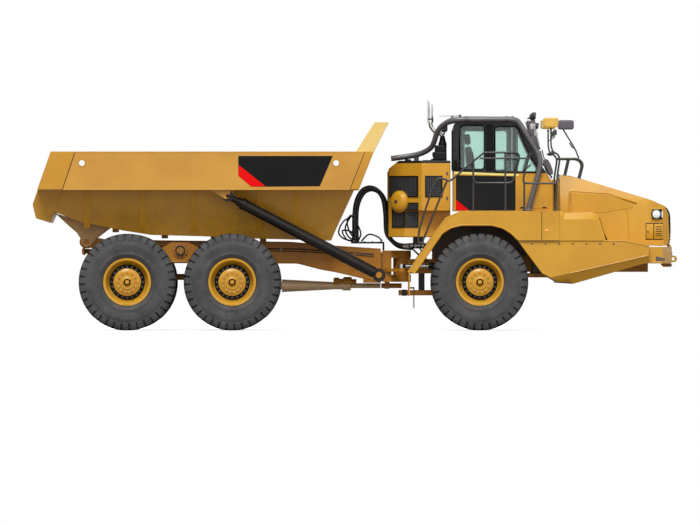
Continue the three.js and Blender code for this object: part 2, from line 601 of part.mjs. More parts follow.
// The hood's form set in by d on every face and shifted by dx and dz.
function hoodForm(d, dx = 0, dz = 0) {
  const outline = side(inset(HOOD_OUTLINE, d).map(([x, z]) => [x + dx, z + dz]), -HOOD_HALF - 5,
    HOOD_HALF + 5);
  const h = HOOD_HALF - d;
  const front = section([[-h, 500], [h, 500], [h, 1240 - d], [h - 60, 1420 - d], [h - 190, 1760 - d],
    [-h + 190, 1760 - d], [-h + 60, 1420 - d], [-h, 1240 - d]].map(([y, z]) => [y, z + dz]), 1200 + dx,
      3200 + dx);
  const footprint = plan([[1200, -h], [2700, -h], [2990 - d, -h + 60], [3090 - d, -h + 190],
    [3090 - d, h - 190], [2990 - d, h - 60], [2700, h], [1200, h]].map(([x, y]) => [x + dx, y]), 500 + dz,
      1800 + dz);
  return outline.intersect(front).intersect(footprint);
}

function hood() {
  const openings = [[0, 0], [0, -60], [0, -120], [-70, 0], [-70, -60]].map(([x, z]) => hoodForm(HOOD_WALL,
    x, z));
  const rails = both((s) => join(
    bar([[1260, 2004], [1612, 2004], [1690, 1919], [1618, 1640]], s * 690),
    bar([[1459, 2004], [1389, 1690]], s * 690),
  ));
  const lugs = both((s) => join(
    side(circle(HOOD_HINGE_X, HOOD_HINGE_Z, 18, 12), s * (520 + THRUST_GAP), s * 560),
    side([[3096, 606], [3062, 700], [3046, 690], [3040, 628], [3084, 576]], s * (520 + THRUST_GAP), s * 560),
  ));
  const mirrorArm = join(
    bar([[1614, 2010], [1556, 2158], [1358, 2480]], -690, 14),
    block(1275, 1531, -740, -640, 2477, 2629),
  );
  return join(cut(hoodForm(0), openings), rails, lugs, mirrorArm);
}

// ---------------------------------------------------------------- hitch and rear frame
const BLOCK_X = [-318, -168];
const EAR_Z = [170, 220];
const SHAFT_Z = -60;

function hitch() {
  const column = block(BLOCK_X[0], BLOCK_X[1], -250, 250, 2, 514);
  const arms = [[2, NOSE_BOTTOM], [NOSE_TOP, 514]].map(([z0, z1]) => join(
    plan([[BLOCK_X[1] - 5, -250], [0, -ARM_RADIUS], [0, ARM_RADIUS], [BLOCK_X[1] - 5, 250]], z0, z1),
    rod([0, 0, z0], [0, 0, z1], ARM_RADIUS, 32),
  ));
  const kingPin = rod([0, 0, 20], [0, 0, 500], KING_PIN_RADIUS, 32);
  const ears = both((s) => join(
    plan([[-300, s * 200], [-170, s * 200], [40, s * 400], [0, s * STEER_EYE_Y],
      [-60, s * (STEER_EYE_Y + 15)], [-300, s * 248]],
      ...EAR_Z),
    rod([0, s * STEER_EYE_Y, EAR_Z[0]], [0, s * STEER_EYE_Y, EAR_Z[1]], 65, 16),
  ));
  const rollTube = join(
    rod([BLOCK_X[0] + 5, 0, ROLL_Z], [-600, 0, ROLL_Z], ROLL_RADIUS, 32),
    rod([BLOCK_X[0] + 5, 0, ROLL_Z], [REAR_FRONT + THRUST_GAP, 0, ROLL_Z], ROLL_RADIUS + 60, 32),
  );
  const shaftHanger = join(block(-280, -200, -60, 60, SHAFT_Z - 50, 10),
    rod([-335, 0, SHAFT_Z], [0, 0, SHAFT_Z], 40, 12));
  return join(column, arms, kingPin, ears, rollTube, shaftHanger);
}

const REAR_FRONT = -341;
const REAR_RAIL = [[REAR_FRONT, 545], [-1068, 592], [-1798, 655], [TILT_X + 330, TILT_Z + 35],
  [TILT_X + 60, TILT_Z + 90],
  [TILT_X, TILT_Z], [TILT_X + 60, TILT_Z - 90], [-4700, 313], [-1999, 313], [-1689, 297], [-1333, 204],
    [-1070, 157],
  [REAR_FRONT, -13]];
const BEAM_PIVOT = [(-MIDDLE_WHEELBASE + REAR_AXLE_X) / 2, 512];
const BEAM_Y = [560, 680];

function rearFrame() {
  const rails = both((s) => side(REAR_RAIL, s * REAR_RAIL_INNER, s * REAR_RAIL_OUTER));
  const bosses = both((s) => side(circle(TILT_X, TILT_Z, 110, 16), s * REAR_RAIL_INNER,
    s * (REAR_RAIL_OUTER + RUN_GAP - THRUST_GAP)));
  const housing = block(REAR_FRONT - 287, REAR_FRONT, -REAR_RAIL_OUTER, REAR_RAIL_OUTER, -13, 545);
  const bore = rod([REAR_FRONT + 10, 0, ROLL_Z], [REAR_FRONT - 400, 0, ROLL_Z], ROLL_RADIUS + 3, 32);
  const cross = (x, z, radius, half) => turned([[0, -half], [radius, -half], [radius, half], [0, half]],
    WHEEL_SIDES, [x, 0, z]);
  const hoistPins = both((s) => turned([[0, s * (REAR_RAIL_OUTER - 10)],
    [HOIST_PIN_RADIUS, s * (REAR_RAIL_OUTER - 10)],
    [HOIST_PIN_RADIUS, s * (HOIST_LOW[1] + 60)], [0, s * (HOIST_LOW[1] + 60)]], WHEEL_SIDES,
      [HOIST_LOW[0], 0, HOIST_LOW[2]]));
  return cut(join(rails, bosses, housing,
    cross(-1800, 480, 80, REAR_RAIL_INNER + 20), cross(-4700, 500, 90, REAR_RAIL_INNER + 20),
    cross(BEAM_PIVOT[0], BEAM_PIVOT[1], 81, BEAM_Y[1] + 25),
    cross(TILT_X, TILT_Z, TILT_PIN_RADIUS, TIPPER_EAR[1] + 15),
    hoistPins), bore);
}

function walkingBeam(s) {
  const [x, z] = BEAM_PIVOT;
  const reach = (MIDDLE_WHEELBASE + REAR_AXLE_X) / -2;
  const low = AXLE_TUBE + GAP;
  const half = [[0, z + 138], [140, z + 138], [reach + 10, 230], [reach + 150, 230], [reach + 150, low],
    [reach - 150, low], [reach - 500, 330], [0, 330]];
  const outline = [...half.slice(1, -1).map(([u, v]) => [x + u, v]),
    ...half.slice(1, -1).reverse().map(([u, v]) => [x - u, v])];
  return cut(side(outline, s * BEAM_Y[0], s * BEAM_Y[1]),
    turned([[0, -BEAM_Y[1] - 10], [81 + GAP, -BEAM_Y[1] - 10], [81 + GAP, BEAM_Y[1] + 10],
      [0, BEAM_Y[1] + 10]],
      WHEEL_SIDES, [x, 0, z]));
}

function rearShaft() {
  const axis = (x) => [x, 0, SHAFT_Z];
  const length = join(
    rod(axis(REAR_FRONT - 4), axis(-900), 40, 12), rod(axis(-830), axis(-966), 78, 12),
    rod(axis(-960), axis(-1131), 60, 12), rod(axis(-1125), axis(-1952), 62, 12, 104),
      rod(axis(-1950), axis(-2600), 60, 12),
  );
  return cut(length, axleHousing(-MIDDLE_WHEELBASE, GAP));
}

function rearAxle() {
  const link = rod([REAR_AXLE_X, 0, 83], [-MIDDLE_WHEELBASE, 0, 83], 50, 12);
  return join(axleHousing(REAR_AXLE_X), cut(link, axleHousing(-MIDDLE_WHEELBASE, GAP)));
}

// ---------------------------------------------------------------- hoist
const hoistLow = new THREE.Vector3(...HOIST_LOW);
const hoistRun = new THREE.Vector3(...HOIST_HIGH).sub(hoistLow);
const HOIST_LENGTH = hoistRun.length();
const hoistAxis = hoistRun.clone().normalize();
const alongHoist = (s) => hoistLow.clone().addScaledVector(hoistAxis, s).toArray();

function hoistEye(at, hole, thickness) {
  const profile = [[hole + 5, -thickness], [hole, 0], [hole + 5, thickness], [110, thickness],
    [110, -thickness], [hole + 5, -thickness]];
  return turned(profile, WHEEL_SIDES, at);
}

function hoistBarrel() {
  const tube = join(hoistEye(HOIST_LOW, HOIST_PIN_RADIUS + 0.8, 25),
    rod(alongHoist(97), alongHoist(2560), HOIST_BARREL_RADIUS, 16));
  return cut(tube, rod(alongHoist(180), alongHoist(2600), HOIST_STAGE_RADIUS + THRUST_GAP, 16));
}

const hoistStage = () => cut(rod(alongHoist(190), alongHoist(2630), HOIST_STAGE_RADIUS, 16),
  rod(alongHoist(260), alongHoist(2660), HOIST_ROD_RADIUS + THRUST_GAP, 16));

const hoistRod = () => join(rod(alongHoist(280), alongHoist(HOIST_LENGTH - 85), HOIST_ROD_RADIUS, 16),
  turned([[40, -40], [40, 40], [92, 40], [92, -40], [40, -40]], 16, alongHoist(HOIST_LENGTH)));

// ---------------------------------------------------------------- dump body, from its tilt hinge
const TIPPER_EAR = [REAR_RAIL_OUTER + RUN_GAP, REAR_RAIL_OUTER + RUN_GAP + 60];
const BODY_OUTLINE = [[4674, BODY_TOP], [4354, BODY_RAIL_BOTTOM], [4059, 201], [3981, 19], [2760, 53],
  [1857, 92],
  [1036, 113], [596, 183], [395, 225], [-94, 327], [-491, 477], [-571, 305], [-804, 379], [-858, 601],
    [-555, BODY_TOP]];
const BODY_HOLLOW = [[4624, BODY_TOP + 200], [4624, BODY_TOP], [4304, BODY_RAIL_BOTTOM], [4009, 205],
  [3945, 62],
  [2760, 53 + BODY_WALL], [1857, 92 + BODY_WALL], [1036, 113 + BODY_WALL], [596, 183 + BODY_WALL],
    [395, 225 + BODY_WALL],
  [-94, 327 + BODY_WALL], [-498, 530], [-900, 640], [-900, BODY_TOP + 200]];
const hoistHighX = HOIST_HIGH[0] - TILT_X;
const hoistHighZ = HOIST_HIGH[2] - TILT_Z;

function bodySection(inward) {
  const floor = BODY_FLOOR_HALF - inward;
  const waist = BODY_WAIST_HALF - inward;
  return inward === 0
    ? [[-floor, -100], [floor, -100], [floor, 60], [waist, BODY_RAIL_BOTTOM],
      [BODY_RAIL_HALF, BODY_RAIL_BOTTOM],
      [BODY_RAIL_HALF, BODY_TOP], [-BODY_RAIL_HALF, BODY_TOP], [-BODY_RAIL_HALF, BODY_RAIL_BOTTOM],
      [-waist, BODY_RAIL_BOTTOM], [-floor, 60]]
    : [[-floor, -100], [floor, -100], [floor, 60], [waist, BODY_RAIL_BOTTOM],
      [BODY_RAIL_HALF - 130, BODY_TOP],
      [BODY_RAIL_HALF - 90, BODY_TOP + 200], [-BODY_RAIL_HALF + 90, BODY_TOP + 200],
        [-BODY_RAIL_HALF + 130, BODY_TOP],
      [-waist, BODY_RAIL_BOTTOM], [-floor, 60]];
}

function dumpBody() {
  const outer = side(BODY_OUTLINE, -1500, 1500).intersect(section(bodySection(0), -1000, 5000));
  const inner = side(BODY_HOLLOW, -1500, 1500).intersect(section(bodySection(BODY_WALL), -1000, 5000));
  const ears = both((s) => side([[-500, 460], [-265, 243], [-151, 146], [-94, 55], [-72, -36], [0, -95],
    [72, -60],
    [168, 60], [400, 240], [-94, 340]], s * TIPPER_EAR[0], s * TIPPER_EAR[1]));
  const pinHoles = both((s) => turned([[0, s * 400], [TILT_PIN_RADIUS + 2, s * 400],
    [TILT_PIN_RADIUS + 2, s * 500], [0, s * 500]], WHEEL_SIDES));
  const lugs = both((s) => join(
    rod([hoistHighX, s * 1000, hoistHighZ], [hoistHighX, s * (HOIST_HIGH[1] - 50), hoistHighZ],
      HOIST_PIN_RADIUS, 16),
    side([[hoistHighX - 160, BODY_RAIL_BOTTOM + 5], [hoistHighX + 120, BODY_RAIL_BOTTOM + 5],
      [hoistHighX + 60, hoistHighZ - 60], [hoistHighX - 60, hoistHighZ - 60]], s * 1090, s * 1150),
  ));
  const guardSeat = block(GUARD_BACK - RUN_GAP, 4700, -BODY_RAIL_HALF - 10, BODY_RAIL_HALF + 10,
    BODY_TOP - GUARD_SEAT, BODY_TOP + 10);
  return cut(join(cut(outer, inner), ears, lugs), pinHoles, guardSeat);
}

function spillGuard() {
  const foot = BODY_TOP - GUARD_SEAT + GAP;
  const plate = side([[4624, foot], [4674, foot], [4913, 1935], [4863, 1935]], -1300, 1300);
  const lip = side([[4800, 1905], [4905, 1905], [4913, 1935], [4800, 1935]], -1300, 1300);
  const ends = both((s) => side([[GUARD_BACK, foot], [4660, foot], [4900, 1930], [4688, 1935]], s * 1260,
    s * 1300));
  return join(plate, lip, ends);
}

// ---------------------------------------------------------------- assembly
part(tractor, 'front_frame', frontFrame(), DARK_GREY);
part(tractor, 'front_axle', frontAxle(), DARK_GREY);
part(tractor, 'engine_block', block(...ENGINE_X, -ENGINE_HALF, ENGINE_HALF, RAIL_TOP + GAP, DECK_Z - 38),
  DARK_GREY);
part(tractor, 'bumper', bumper(), DARK_GREY);
part(tractor, 'cab_shell', cabShell(), BLACK);
part(tractor, 'windscreen', windscreen(), GLASS);
part(tractor, 'rear_glass', rearGlass(), GLASS);
part(tractor, 'side_glass_right', paneBehind([[-340, SILL_Z - 60], [1010, SILL_Z - 60], [800, 2144],
  [620, HEAD_Z + 15],
  [-340, HEAD_Z + 15]], INNER_FACE, -1), GLASS);
part(tractor, 'quarter_glass_left', paneBehind(inset(QUARTER_WINDOW, -20), INNER_FACE, 1), GLASS);
part(tractor, 'rops_frame', ropsFrame(), DARK_GREY);
part(tractor, 'seat', seat(), SEAT_CLOTH);
part(tractor, 'console', console(), BLACK);
part(tractor, 'cooling_box', coolingBox(), YELLOW);
part(tractor, 'exhaust_stack', exhaustStack(), STEEL);
part(tractor, 'intake_bowl', intakeBowl(), BLACK);
part(tractor, 'handrail_right', handrailRight(), BLACK);
part(tractor, 'handrail_left', handrailLeft(), BLACK);
part(tractor, 'grab_rail_left', grabRailLeft(), BLACK);
for (const [name, s] of SIDES) {
  part(tractor, `fender_${name}`, fender(s), YELLOW);
  part(tractor, `side_skirt_${name}`, skirt(s), YELLOW);
  part(tractor, `mirror_${name}`, mirror(s), YELLOW);
  part(tractor, `steer_barrel_${name}`, steerBarrel(s), BLACK);
  part(tractor, `steer_rod_${name}`, steerRod(s), STEEL);
}
wheels(tractor, 'front', 0);
part(tractor, 'hood', hood(), YELLOW);
part(tractor, 'cab_door', cabDoor(), BLACK);
part(tractor, 'door_glass', paneBehind(inset(DOOR_WINDOW, -20), INNER_FACE + 5, 1), GLASS);

part(trailer, 'hitch', hitch(), YELLOW);
part(trailer, 'rear_frame', rearFrame(), YELLOW);
part(trailer, 'middle_axle', axleHousing(-MIDDLE_WHEELBASE), DARK_GREY);
part(trailer, 'rear_axle', rearAxle(), DARK_GREY);
part(trailer, 'rear_shaft', rearShaft(), DARK_GREY);
wheels(trailer, 'middle', -MIDDLE_WHEELBASE);
wheels(trailer, 'rear', REAR_AXLE_X);
for (const [name, s] of SIDES) {
  part(trailer, `walking_beam_${name}`, walkingBeam(s), YELLOW);
  part(trailer, `hoist_barrel_${name}`, onSide(hoistBarrel(), s), BLACK);
  part(trailer, `hoist_stage_${name}`, onSide(hoistStage(), s), STEEL);
  part(trailer, `hoist_rod_${name}`, onSide(hoistRod(), s), STEEL);
}
part(tipper, 'dump_body', dumpBody(), YELLOW);
part(tipper, 'spill_guard', spillGuard(), YELLOW);

export default machine;
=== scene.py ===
import json
import math

import bmesh
import bpy
import numpy as np
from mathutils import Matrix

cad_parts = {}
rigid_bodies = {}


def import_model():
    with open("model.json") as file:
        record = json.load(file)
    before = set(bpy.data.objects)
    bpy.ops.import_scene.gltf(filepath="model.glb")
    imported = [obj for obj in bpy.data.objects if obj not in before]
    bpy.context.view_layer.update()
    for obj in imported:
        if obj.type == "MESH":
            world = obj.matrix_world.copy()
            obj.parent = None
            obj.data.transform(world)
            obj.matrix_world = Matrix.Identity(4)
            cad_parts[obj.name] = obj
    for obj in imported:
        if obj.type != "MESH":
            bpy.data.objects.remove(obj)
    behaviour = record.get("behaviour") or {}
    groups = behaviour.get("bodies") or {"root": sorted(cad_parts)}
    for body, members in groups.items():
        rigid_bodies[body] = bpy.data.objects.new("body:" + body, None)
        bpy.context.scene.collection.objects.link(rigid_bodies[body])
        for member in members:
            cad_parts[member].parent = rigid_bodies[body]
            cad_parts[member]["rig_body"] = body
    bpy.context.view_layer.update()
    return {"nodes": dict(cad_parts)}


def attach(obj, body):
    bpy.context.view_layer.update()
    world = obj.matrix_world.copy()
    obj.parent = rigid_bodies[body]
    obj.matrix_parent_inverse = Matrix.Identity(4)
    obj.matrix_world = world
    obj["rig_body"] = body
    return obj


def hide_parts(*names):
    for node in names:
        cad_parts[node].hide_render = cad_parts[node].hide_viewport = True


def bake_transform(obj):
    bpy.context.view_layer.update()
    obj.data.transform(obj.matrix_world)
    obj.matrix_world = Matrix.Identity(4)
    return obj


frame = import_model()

FRONT_AXLE = (2.016, 0.785)  # the tractor's own origin, x and z in metres
SIDES = (("left", 1), ("right", -1))  # with the sign of y
DECK_Z = 1.9383  # top of the fenders
RAIL_Y = 1.4  # handrails and mirrors, from the middle
UP, AHEAD = (0, 0, 1), (1, 0, 0)


# ---------------------------------------------------------------- shapes: (points, faces, finish number)
def xz(points):
    """Points (x, z) in millimetres from the front axle, as metres in the row frame: p / 1000 + axle."""
    return np.asarray(points, float) / 1000 + np.asarray(FRONT_AXLE)


def lattice(grid, around=False, along=False, number=0):
    """Quads between the neighbours of a grid of points; around and along close its first and second way."""
    n, m = grid.shape[:2]
    i = np.arange(n if around else n - 1)[:, None]
    j = np.arange(m if along else m - 1)[None, :]
    a, b = (i + 1) % n, (j + 1) % m
    quads = np.stack([i * m + j, a * m + j, a * m + b, i * m + b], -1).reshape(-1, 4)
    return grid.reshape(-1, 3), quads.tolist(), number


def capped(grid, number=0):
    """A closed skin from rings of points: quads between the rings and one flat face at each end."""
    points, faces, _ = lattice(grid.transpose(1, 0, 2), around=True)
    n, m = grid.shape[:2]
    ring = np.arange(m) * n
    return points, faces + [ring.tolist(), (ring[::-1] + n - 1).tolist()], number


def turned(profile, centre, axis, sides=32, number=0):
    """A profile of (distance along the axis, radius) turned about the axis: centre + s a + r (cos t u + sin t
    v). A profile that stays off the axis closes on itself, as a ring."""
    profile = np.asarray(profile, float)
    a = np.asarray(axis, float) / np.linalg.norm(axis)
    u = np.cross(a, UP if abs(a[2]) < 0.9 else AHEAD)
    u /= np.linalg.norm(u)
    v = np.cross(a, u)
    t = np.linspace(0, 2 * math.pi, sides, endpoint=False)[:, None, None]
    s, r = profile[None, :, :1], profile[None, :, 1:]
    grid = np.asarray(centre) + s * a + r * (np.cos(t) * u + np.sin(t) * v)
    ring = min(profile[0, 1], profile[-1, 1]) > 1e-6
    return lattice(grid, around=True, along=ring, number=number)


def rounded(path, radius, steps=5):
    """A path whose inner corners are quadratic curves that leave each corner's arms radius away from it."""
    path = np.asarray(path, float)
    out = [path[:1]]
    t = np.linspace(0, 1, steps + 1)[:, None]
    for before, corner, after in zip(path[:-2], path[1:-1], path[2:]):
        back, on = before - corner, after - corner
        lb, lo = np.linalg.norm(back), np.linalg.norm(on)
        p = corner + back / lb * min(radius, lb * 0.45)
        q = corner + on / lo * min(radius, lo * 0.45)
        out.append((1 - t) ** 2 * p + 2 * t * (1 - t) * corner + t ** 2 * q)
    return np.concatenate(out + [path[-1:]])


def frames(path):
    """Directions across a path that turn no more than it does, from each station to the next."""
    tangent = np.gradient(path, axis=0)
    tangent /= np.linalg.norm(tangent, axis=1)[:, None]
    first = np.cross(tangent[0], UP if abs(tangent[0][2]) < 0.9 else (0, 1, 0))
    across = [first / np.linalg.norm(first)]
    for t in tangent[1:]:
        u = across[-1] - t * (across[-1] @ t)
        across.append(u / np.linalg.norm(u))
    across = np.array(across)
    return across, np.cross(tangent, across)


def tube(path, radius, sides=12, bend=0.0, number=0):
    """A circle of the radius, or of one radius for each station, carried along a path with rounded
    corners."""
    path = rounded(path, bend) if bend and len(path) > 2 else np.asarray(path, float)
    u, v = frames(path)
    t = np.linspace(0, 2 * math.pi, sides, endpoint=False)[None, :, None]
    r = np.broadcast_to(np.asarray(radius, float), (len(path),))[:, None, None]
    return capped(path[:, None] + r * (np.cos(t) * u[:, None] + np.sin(t) * v[:, None]), number)


def shrunk(outline, d):
    """An outline with each side moved inwards by d: each corner moves along its mitre."""
    area = np.sum(outline[:, 0] * np.roll(outline[:, 1], -1) - np.roll(outline[:, 0], -1) * outline[:, 1])
    step = np.roll(outline, -1, 0) - outline
    step /= np.linalg.norm(step, axis=1)[:, None]
    normal = np.stack([-step[:, 1], step[:, 0]], 1) * np.sign(area)
    mitre = normal + np.roll(normal, 1, 0)
    return outline + d * 2 * mitre / np.maximum(np.sum(mitre ** 2, 1), 0.3)[:, None]


def box_of(u0, v0, u1, v1):
    """The outline of a rectangle between two corners."""
    return [(u0, v0), (u1, v0), (u1, v1), (u0, v1)]


def slab(outline, a, b, edge=0.003, way="y", number=0):
    """An outline carried from a to b across its plane, with its rims set in by edge on both faces."""
    outline = np.asarray(outline, float)
    e = math.copysign(edge, b - a)
    rings = [(a, edge), (a + e, 0), (b - e, 0), (b, edge)] if edge else [(a, 0), (b, 0)]
    flat = np.stack([np.column_stack([shrunk(outline, d), np.full(len(outline), h)]) for h, d in rings])
    order = {"y": [0, 2, 1], "x": [2, 0, 1], "z": [0, 1, 2]}[way]
    return capped(flat[..., order], number)


def brick(low, high, edge=0.004, number=0):
    """A block between two corners with its rims set in."""
    (x0, y0, z0), (x1, y1, z1) = low, high
    return slab(box_of(x0, z0, x1, z1), y0, y1, edge, number=number)


def ring_of(shape, centre, axis, count):
    """Copies of a shape turned about an axis: p' = c + R(t) (p - c), for equal steps of t."""
    points, faces, number = shape
    a = np.asarray(axis, float)
    p = points - np.asarray(centre)
    t = (np.arange(count) * 2 * math.pi / count)[:, None, None]
    turn = p * np.cos(t) + np.cross(a, p) * np.sin(t) + np.outer(p @ a, a) * (1 - np.cos(t))
    moved = (turn + np.asarray(centre)).reshape(-1, 3)
    return moved, [[k + i * len(points) for k in f] for i in range(count) for f in faces], number


def rows_of(shape, offsets):
    """Copies of a shape moved by each offset."""
    points, faces, number = shape
    moved = (points[None] + np.asarray(offsets, float)[:, None]).reshape(-1, 3)
    return moved, [[k + i * len(points) for k in f] for i in range(len(offsets)) for f in faces], number


def hexagon(at, axis, radius=0.018, height=0.014, number=0):
    """A bolt head: a washer and a six-sided head with its rim set in, standing at a point along an axis."""
    head = turned([(0.003, 0), (0.003, radius), (height * 0.8, radius), (height, radius * 0.84), (height, 0)],
                  at, axis, 6)
    washer = turned([(0, 0), (0, radius * 1.35), (0.004, radius * 1.35), (0.004, 0)], at, axis, 12)
    n = len(head[0])
    return np.concatenate([head[0], washer[0]]), head[1] + [[k + n for k in f] for f in washer[1]], number


def merged(mesh, distance, flatten=0.0):
    """Merge a mesh's doubles, and dissolve edges flatter than flatten degrees, or else turn its faces
    outwards."""
    work = bmesh.new()
    work.from_mesh(mesh)
    bmesh.ops.remove_doubles(work, verts=work.verts, dist=distance)
    if flatten:
        bmesh.ops.dissolve_limit(work, angle_limit=math.radians(flatten), verts=work.verts, edges=work.edges)
    else:
        bmesh.ops.recalc_face_normals(work, faces=work.faces)
    work.to_mesh(mesh)
    work.free()


def creased(mesh, angle):
    """Smooth shading, with edges sharper than the angle in degrees kept."""
    mesh.polygons.foreach_set("use_smooth", np.ones(len(mesh.polygons), bool))
    mesh.set_sharp_from_angle(angle=math.radians(angle))


def linked(name, data, **settings):
    """An object in the scene, with the settings given."""
    made = bpy.data.objects.new(name, data)
    for key, value in settings.items():
        setattr(made, key, value)
    bpy.context.scene.collection.objects.link(made)
    return made


def piece(name, shapes, finishes, body, stands_for=(), crease=38):
    """One object from shapes, with doubles merged, faces turned outwards and edges sharper than crease
    kept."""
    points = np.concatenate([s[0] for s in shapes])
    faces, numbers, start = [], [], 0
    for p, f, number in shapes:
        faces += [[k + start for k in q] for q in f]
        numbers += [number] * len(f)
        start += len(p)
    mesh = bpy.data.meshes.new(name)
    mesh.from_pydata(points.tolist(), [], faces)
    mesh.polygons.foreach_set("material_index", numbers)
    merged(mesh, 2e-6)
    creased(mesh, crease)
    for finish in finishes if isinstance(finishes, list) else [finishes]:
        mesh.materials.append(finish)
    made = linked(name, mesh)
    if stands_for:
        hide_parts(*stands_for)
    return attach(made, body) if body else made


def softened(node, finish, slot, edge=0.006, crease=34, segments=2):
    """A merged copy of a CAD node whose sharp edges are rounded by a bevel of the given width."""
    source = frame["nodes"][node]
    mesh = source.data.copy()
    merged(mesh, 2e-5, flatten=0.6)
    if "custom_normal" in mesh.attributes:
        mesh.attributes.remove(mesh.attributes["custom_normal"])
    creased(mesh, crease)
    mesh.materials.clear()
    mesh.materials.append(finish)
    made = linked(node + "_form", mesh)
    if edge:
        bevel = made.modifiers.new("edges", "BEVEL")
        bevel.width, bevel.segments = edge, segments
        bevel.limit_method, bevel.angle_limit = "ANGLE", math.radians(crease)
        bevel.harden_normals = True
    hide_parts(node)
    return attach(made, source["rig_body"])


# ---------------------------------------------------------------- finishes
def colour(r, g, b):
    """An sRGB colour of 0 to 255 as the linear colour that a shader takes."""
    c = np.array([r, g, b], float) / 255
    return (*np.where(c <= 0.04045, c / 12.92, ((c + 0.055) / 1.055) ** 2.4), 1.0)


class Nodes:
    """The node tree of a material or world, and the steps that its shaders are built from."""

    def __init__(self, owner):
        owner.use_nodes = True
        self.tree = owner.node_tree

    def node(self, kind, inputs=(), **settings):
        made = self.tree.nodes.new(kind)
        for key, value in settings.items():
            setattr(made, key, value)
        for key, value in dict(inputs).items():
            if isinstance(value, bpy.types.NodeSocket):
                self.tree.links.new(value, made.inputs[key])
            else:
                made.inputs[key].default_value = value
        return made

    def between(self, value, low, high, to_low=0.0, to_high=1.0):
        return self.node("ShaderNodeMapRange", {"Value": value, "From Min": low, "From Max": high,
                                                "To Min": to_low, "To Max": to_high}).outputs[0]

    def maths(self, operation, a, b=0.0):
        return self.node("ShaderNodeMath", {0: a, 1: b}, operation=operation).outputs[0]

    def mixed(self, factor, a, b):
        made = self.node("ShaderNodeMix", {0: factor, 6: a, 7: b}, data_type="RGBA")
        return made.outputs[2]

    def glowing(self, tone, strength):
        return self.node("ShaderNodeBackground", {0: tone, 1: strength}).outputs[0]

    def blended(self, factor, a, b):
        return self.node("ShaderNodeMixShader", {0: factor, 1: a, 2: b}).outputs[0]


class Finish(Nodes):
    """A material built node by node on Object coordinates."""

    def __init__(self, name, **sockets):
        self.material = bpy.data.materials.new(name)
        super().__init__(self.material)
        self.shader = self.tree.nodes["Principled BSDF"]
        self.place = self.node("ShaderNodeTexCoord").outputs["Object"]
        for socket, value in sockets.items():
            self.shader.inputs[socket.replace("_", " ")].default_value = value

    def noise(self, scale, detail=3.0, rough=0.55, stretch=None):
        """Noise from 0 to 1 in cells of 1 / scale metres, which stretch may lengthen along an axis."""
        where = self.place
        if stretch:
            where = self.node("ShaderNodeMapping", {"Vector": where, "Scale": stretch}).outputs[0]
        return self.node("ShaderNodeTexNoise", {"Vector": where, "Scale": scale, "Detail": detail,
                                                "Roughness": rough}).outputs["Fac"]

    def height(self):
        return self.node("ShaderNodeSeparateXYZ", {0: self.place}).outputs[2]

    def bump(self, value, distance, strength=1.0, onto=None):
        inputs = {"Height": value, "Distance": distance, "Strength": strength}
        if onto:
            inputs["Normal"] = onto
        return self.node("ShaderNodeBump", inputs).outputs[0]

    def set(self, **links):
        for socket, value in links.items():
            self.tree.links.new(value, self.shader.inputs[socket.replace("_", " ")])
        return self.material


def paint(name, main, worn, rough=0.33, dust=0.28, coat=0.35, soil_and_shade=(150, 128, 96), shine=0.5,
          upper=None, split=0.0):
    """Sprayed steel: faint clouds of colour, orange peel, dust that thickens towards the ground, dull scuffs.
    Where that dust's colour is dark brown, as on the frames, it is also painted shade. Above the height split
    it may take the colour upper."""
    f = Finish(name, Coat_Weight=coat, Coat_Roughness=0.12, Specular_IOR_Level=shine)
    clouds = f.noise(1.7, 5.0)
    base = f.mixed(f.between(clouds, 0.35, 0.68), colour(*main), colour(*worn))
    # dust towards the ground; with a dark brown dust colour, as on the frames, this is also painted shade
    low = f.between(f.height(), 0.35, 1.75, 1.0, 0.0)
    dust_and_shade = f.maths("MULTIPLY", f.maths("POWER", low, 1.6), f.between(f.noise(7.0, 8.0, 0.7), 0.38, 0.72))
    dust_and_shade = f.maths("MULTIPLY", dust_and_shade, dust)
    base = f.mixed(dust_and_shade, base, colour(*soil_and_shade))
    if upper:
        base = f.mixed(f.maths("GREATER_THAN", f.height(), split), base, colour(*upper))
    scuff = f.between(f.noise(26.0, 6.0, 0.75, stretch=(0.4, 0.4, 1.6)), 0.62, 0.8, 0.0, 0.16)
    gloss = f.maths("ADD", f.maths("ADD", f.between(f.noise(3.1), 0.3, 0.7, rough - 0.04,
                                                    rough + 0.06), scuff),
                    f.maths("MULTIPLY", dust_and_shade, 0.9))
    peel = f.bump(f.noise(210.0, 2.0), 0.0006, 0.22)
    return f.set(Base_Color=base, Roughness=gloss, Normal=f.bump(f.noise(2.2), 0.004, 0.15, peel))


def moulded(name, main, grain=260.0, rough=0.55, depth=0.0006, shine=0.5):
    """Moulded plastic or rubber trim with a fine leather-like stipple and faint dust."""
    f = Finish(name, Specular_IOR_Level=shine)
    cells = f.node("ShaderNodeTexVoronoi", {"Vector": f.place, "Scale": grain}).outputs["Distance"]
    base = f.mixed(f.between(f.noise(5.0, 5.0), 0.4, 0.75, 0.0, 0.35), colour(*main),
                   colour(*(min(255, c + 16) for c in main)))
    return f.set(Base_Color=base, Roughness=f.between(f.noise(9.0), 0.3, 0.7, rough - 0.07, rough + 0.1),
                 Normal=f.bump(cells, depth, 0.6))


def rubber():
    """Tyre rubber: dark grey with a dusty bloom in clouds over the whole surface, and a fine moulding grain."""
    f = Finish("tyre_rubber_compound")
    bloom = f.maths("MULTIPLY", f.between(f.noise(4.0, 7.0, 0.65), 0.35, 0.7), 0.75)
    base = f.mixed(bloom, colour(48, 47, 48), colour(78, 76, 75))
    streak = f.between(f.noise(30.0, 5.0, 0.7), 0.55, 0.8, 0.0, 0.4)
    base = f.mixed(streak, base, colour(98, 94, 88))
    fine = f.bump(f.noise(160.0, 4.0, 0.6), 0.0012, 0.5)
    return f.set(Base_Color=base, Roughness=f.between(f.noise(12.0), 0.3, 0.7, 0.62, 0.82), Normal=fine)


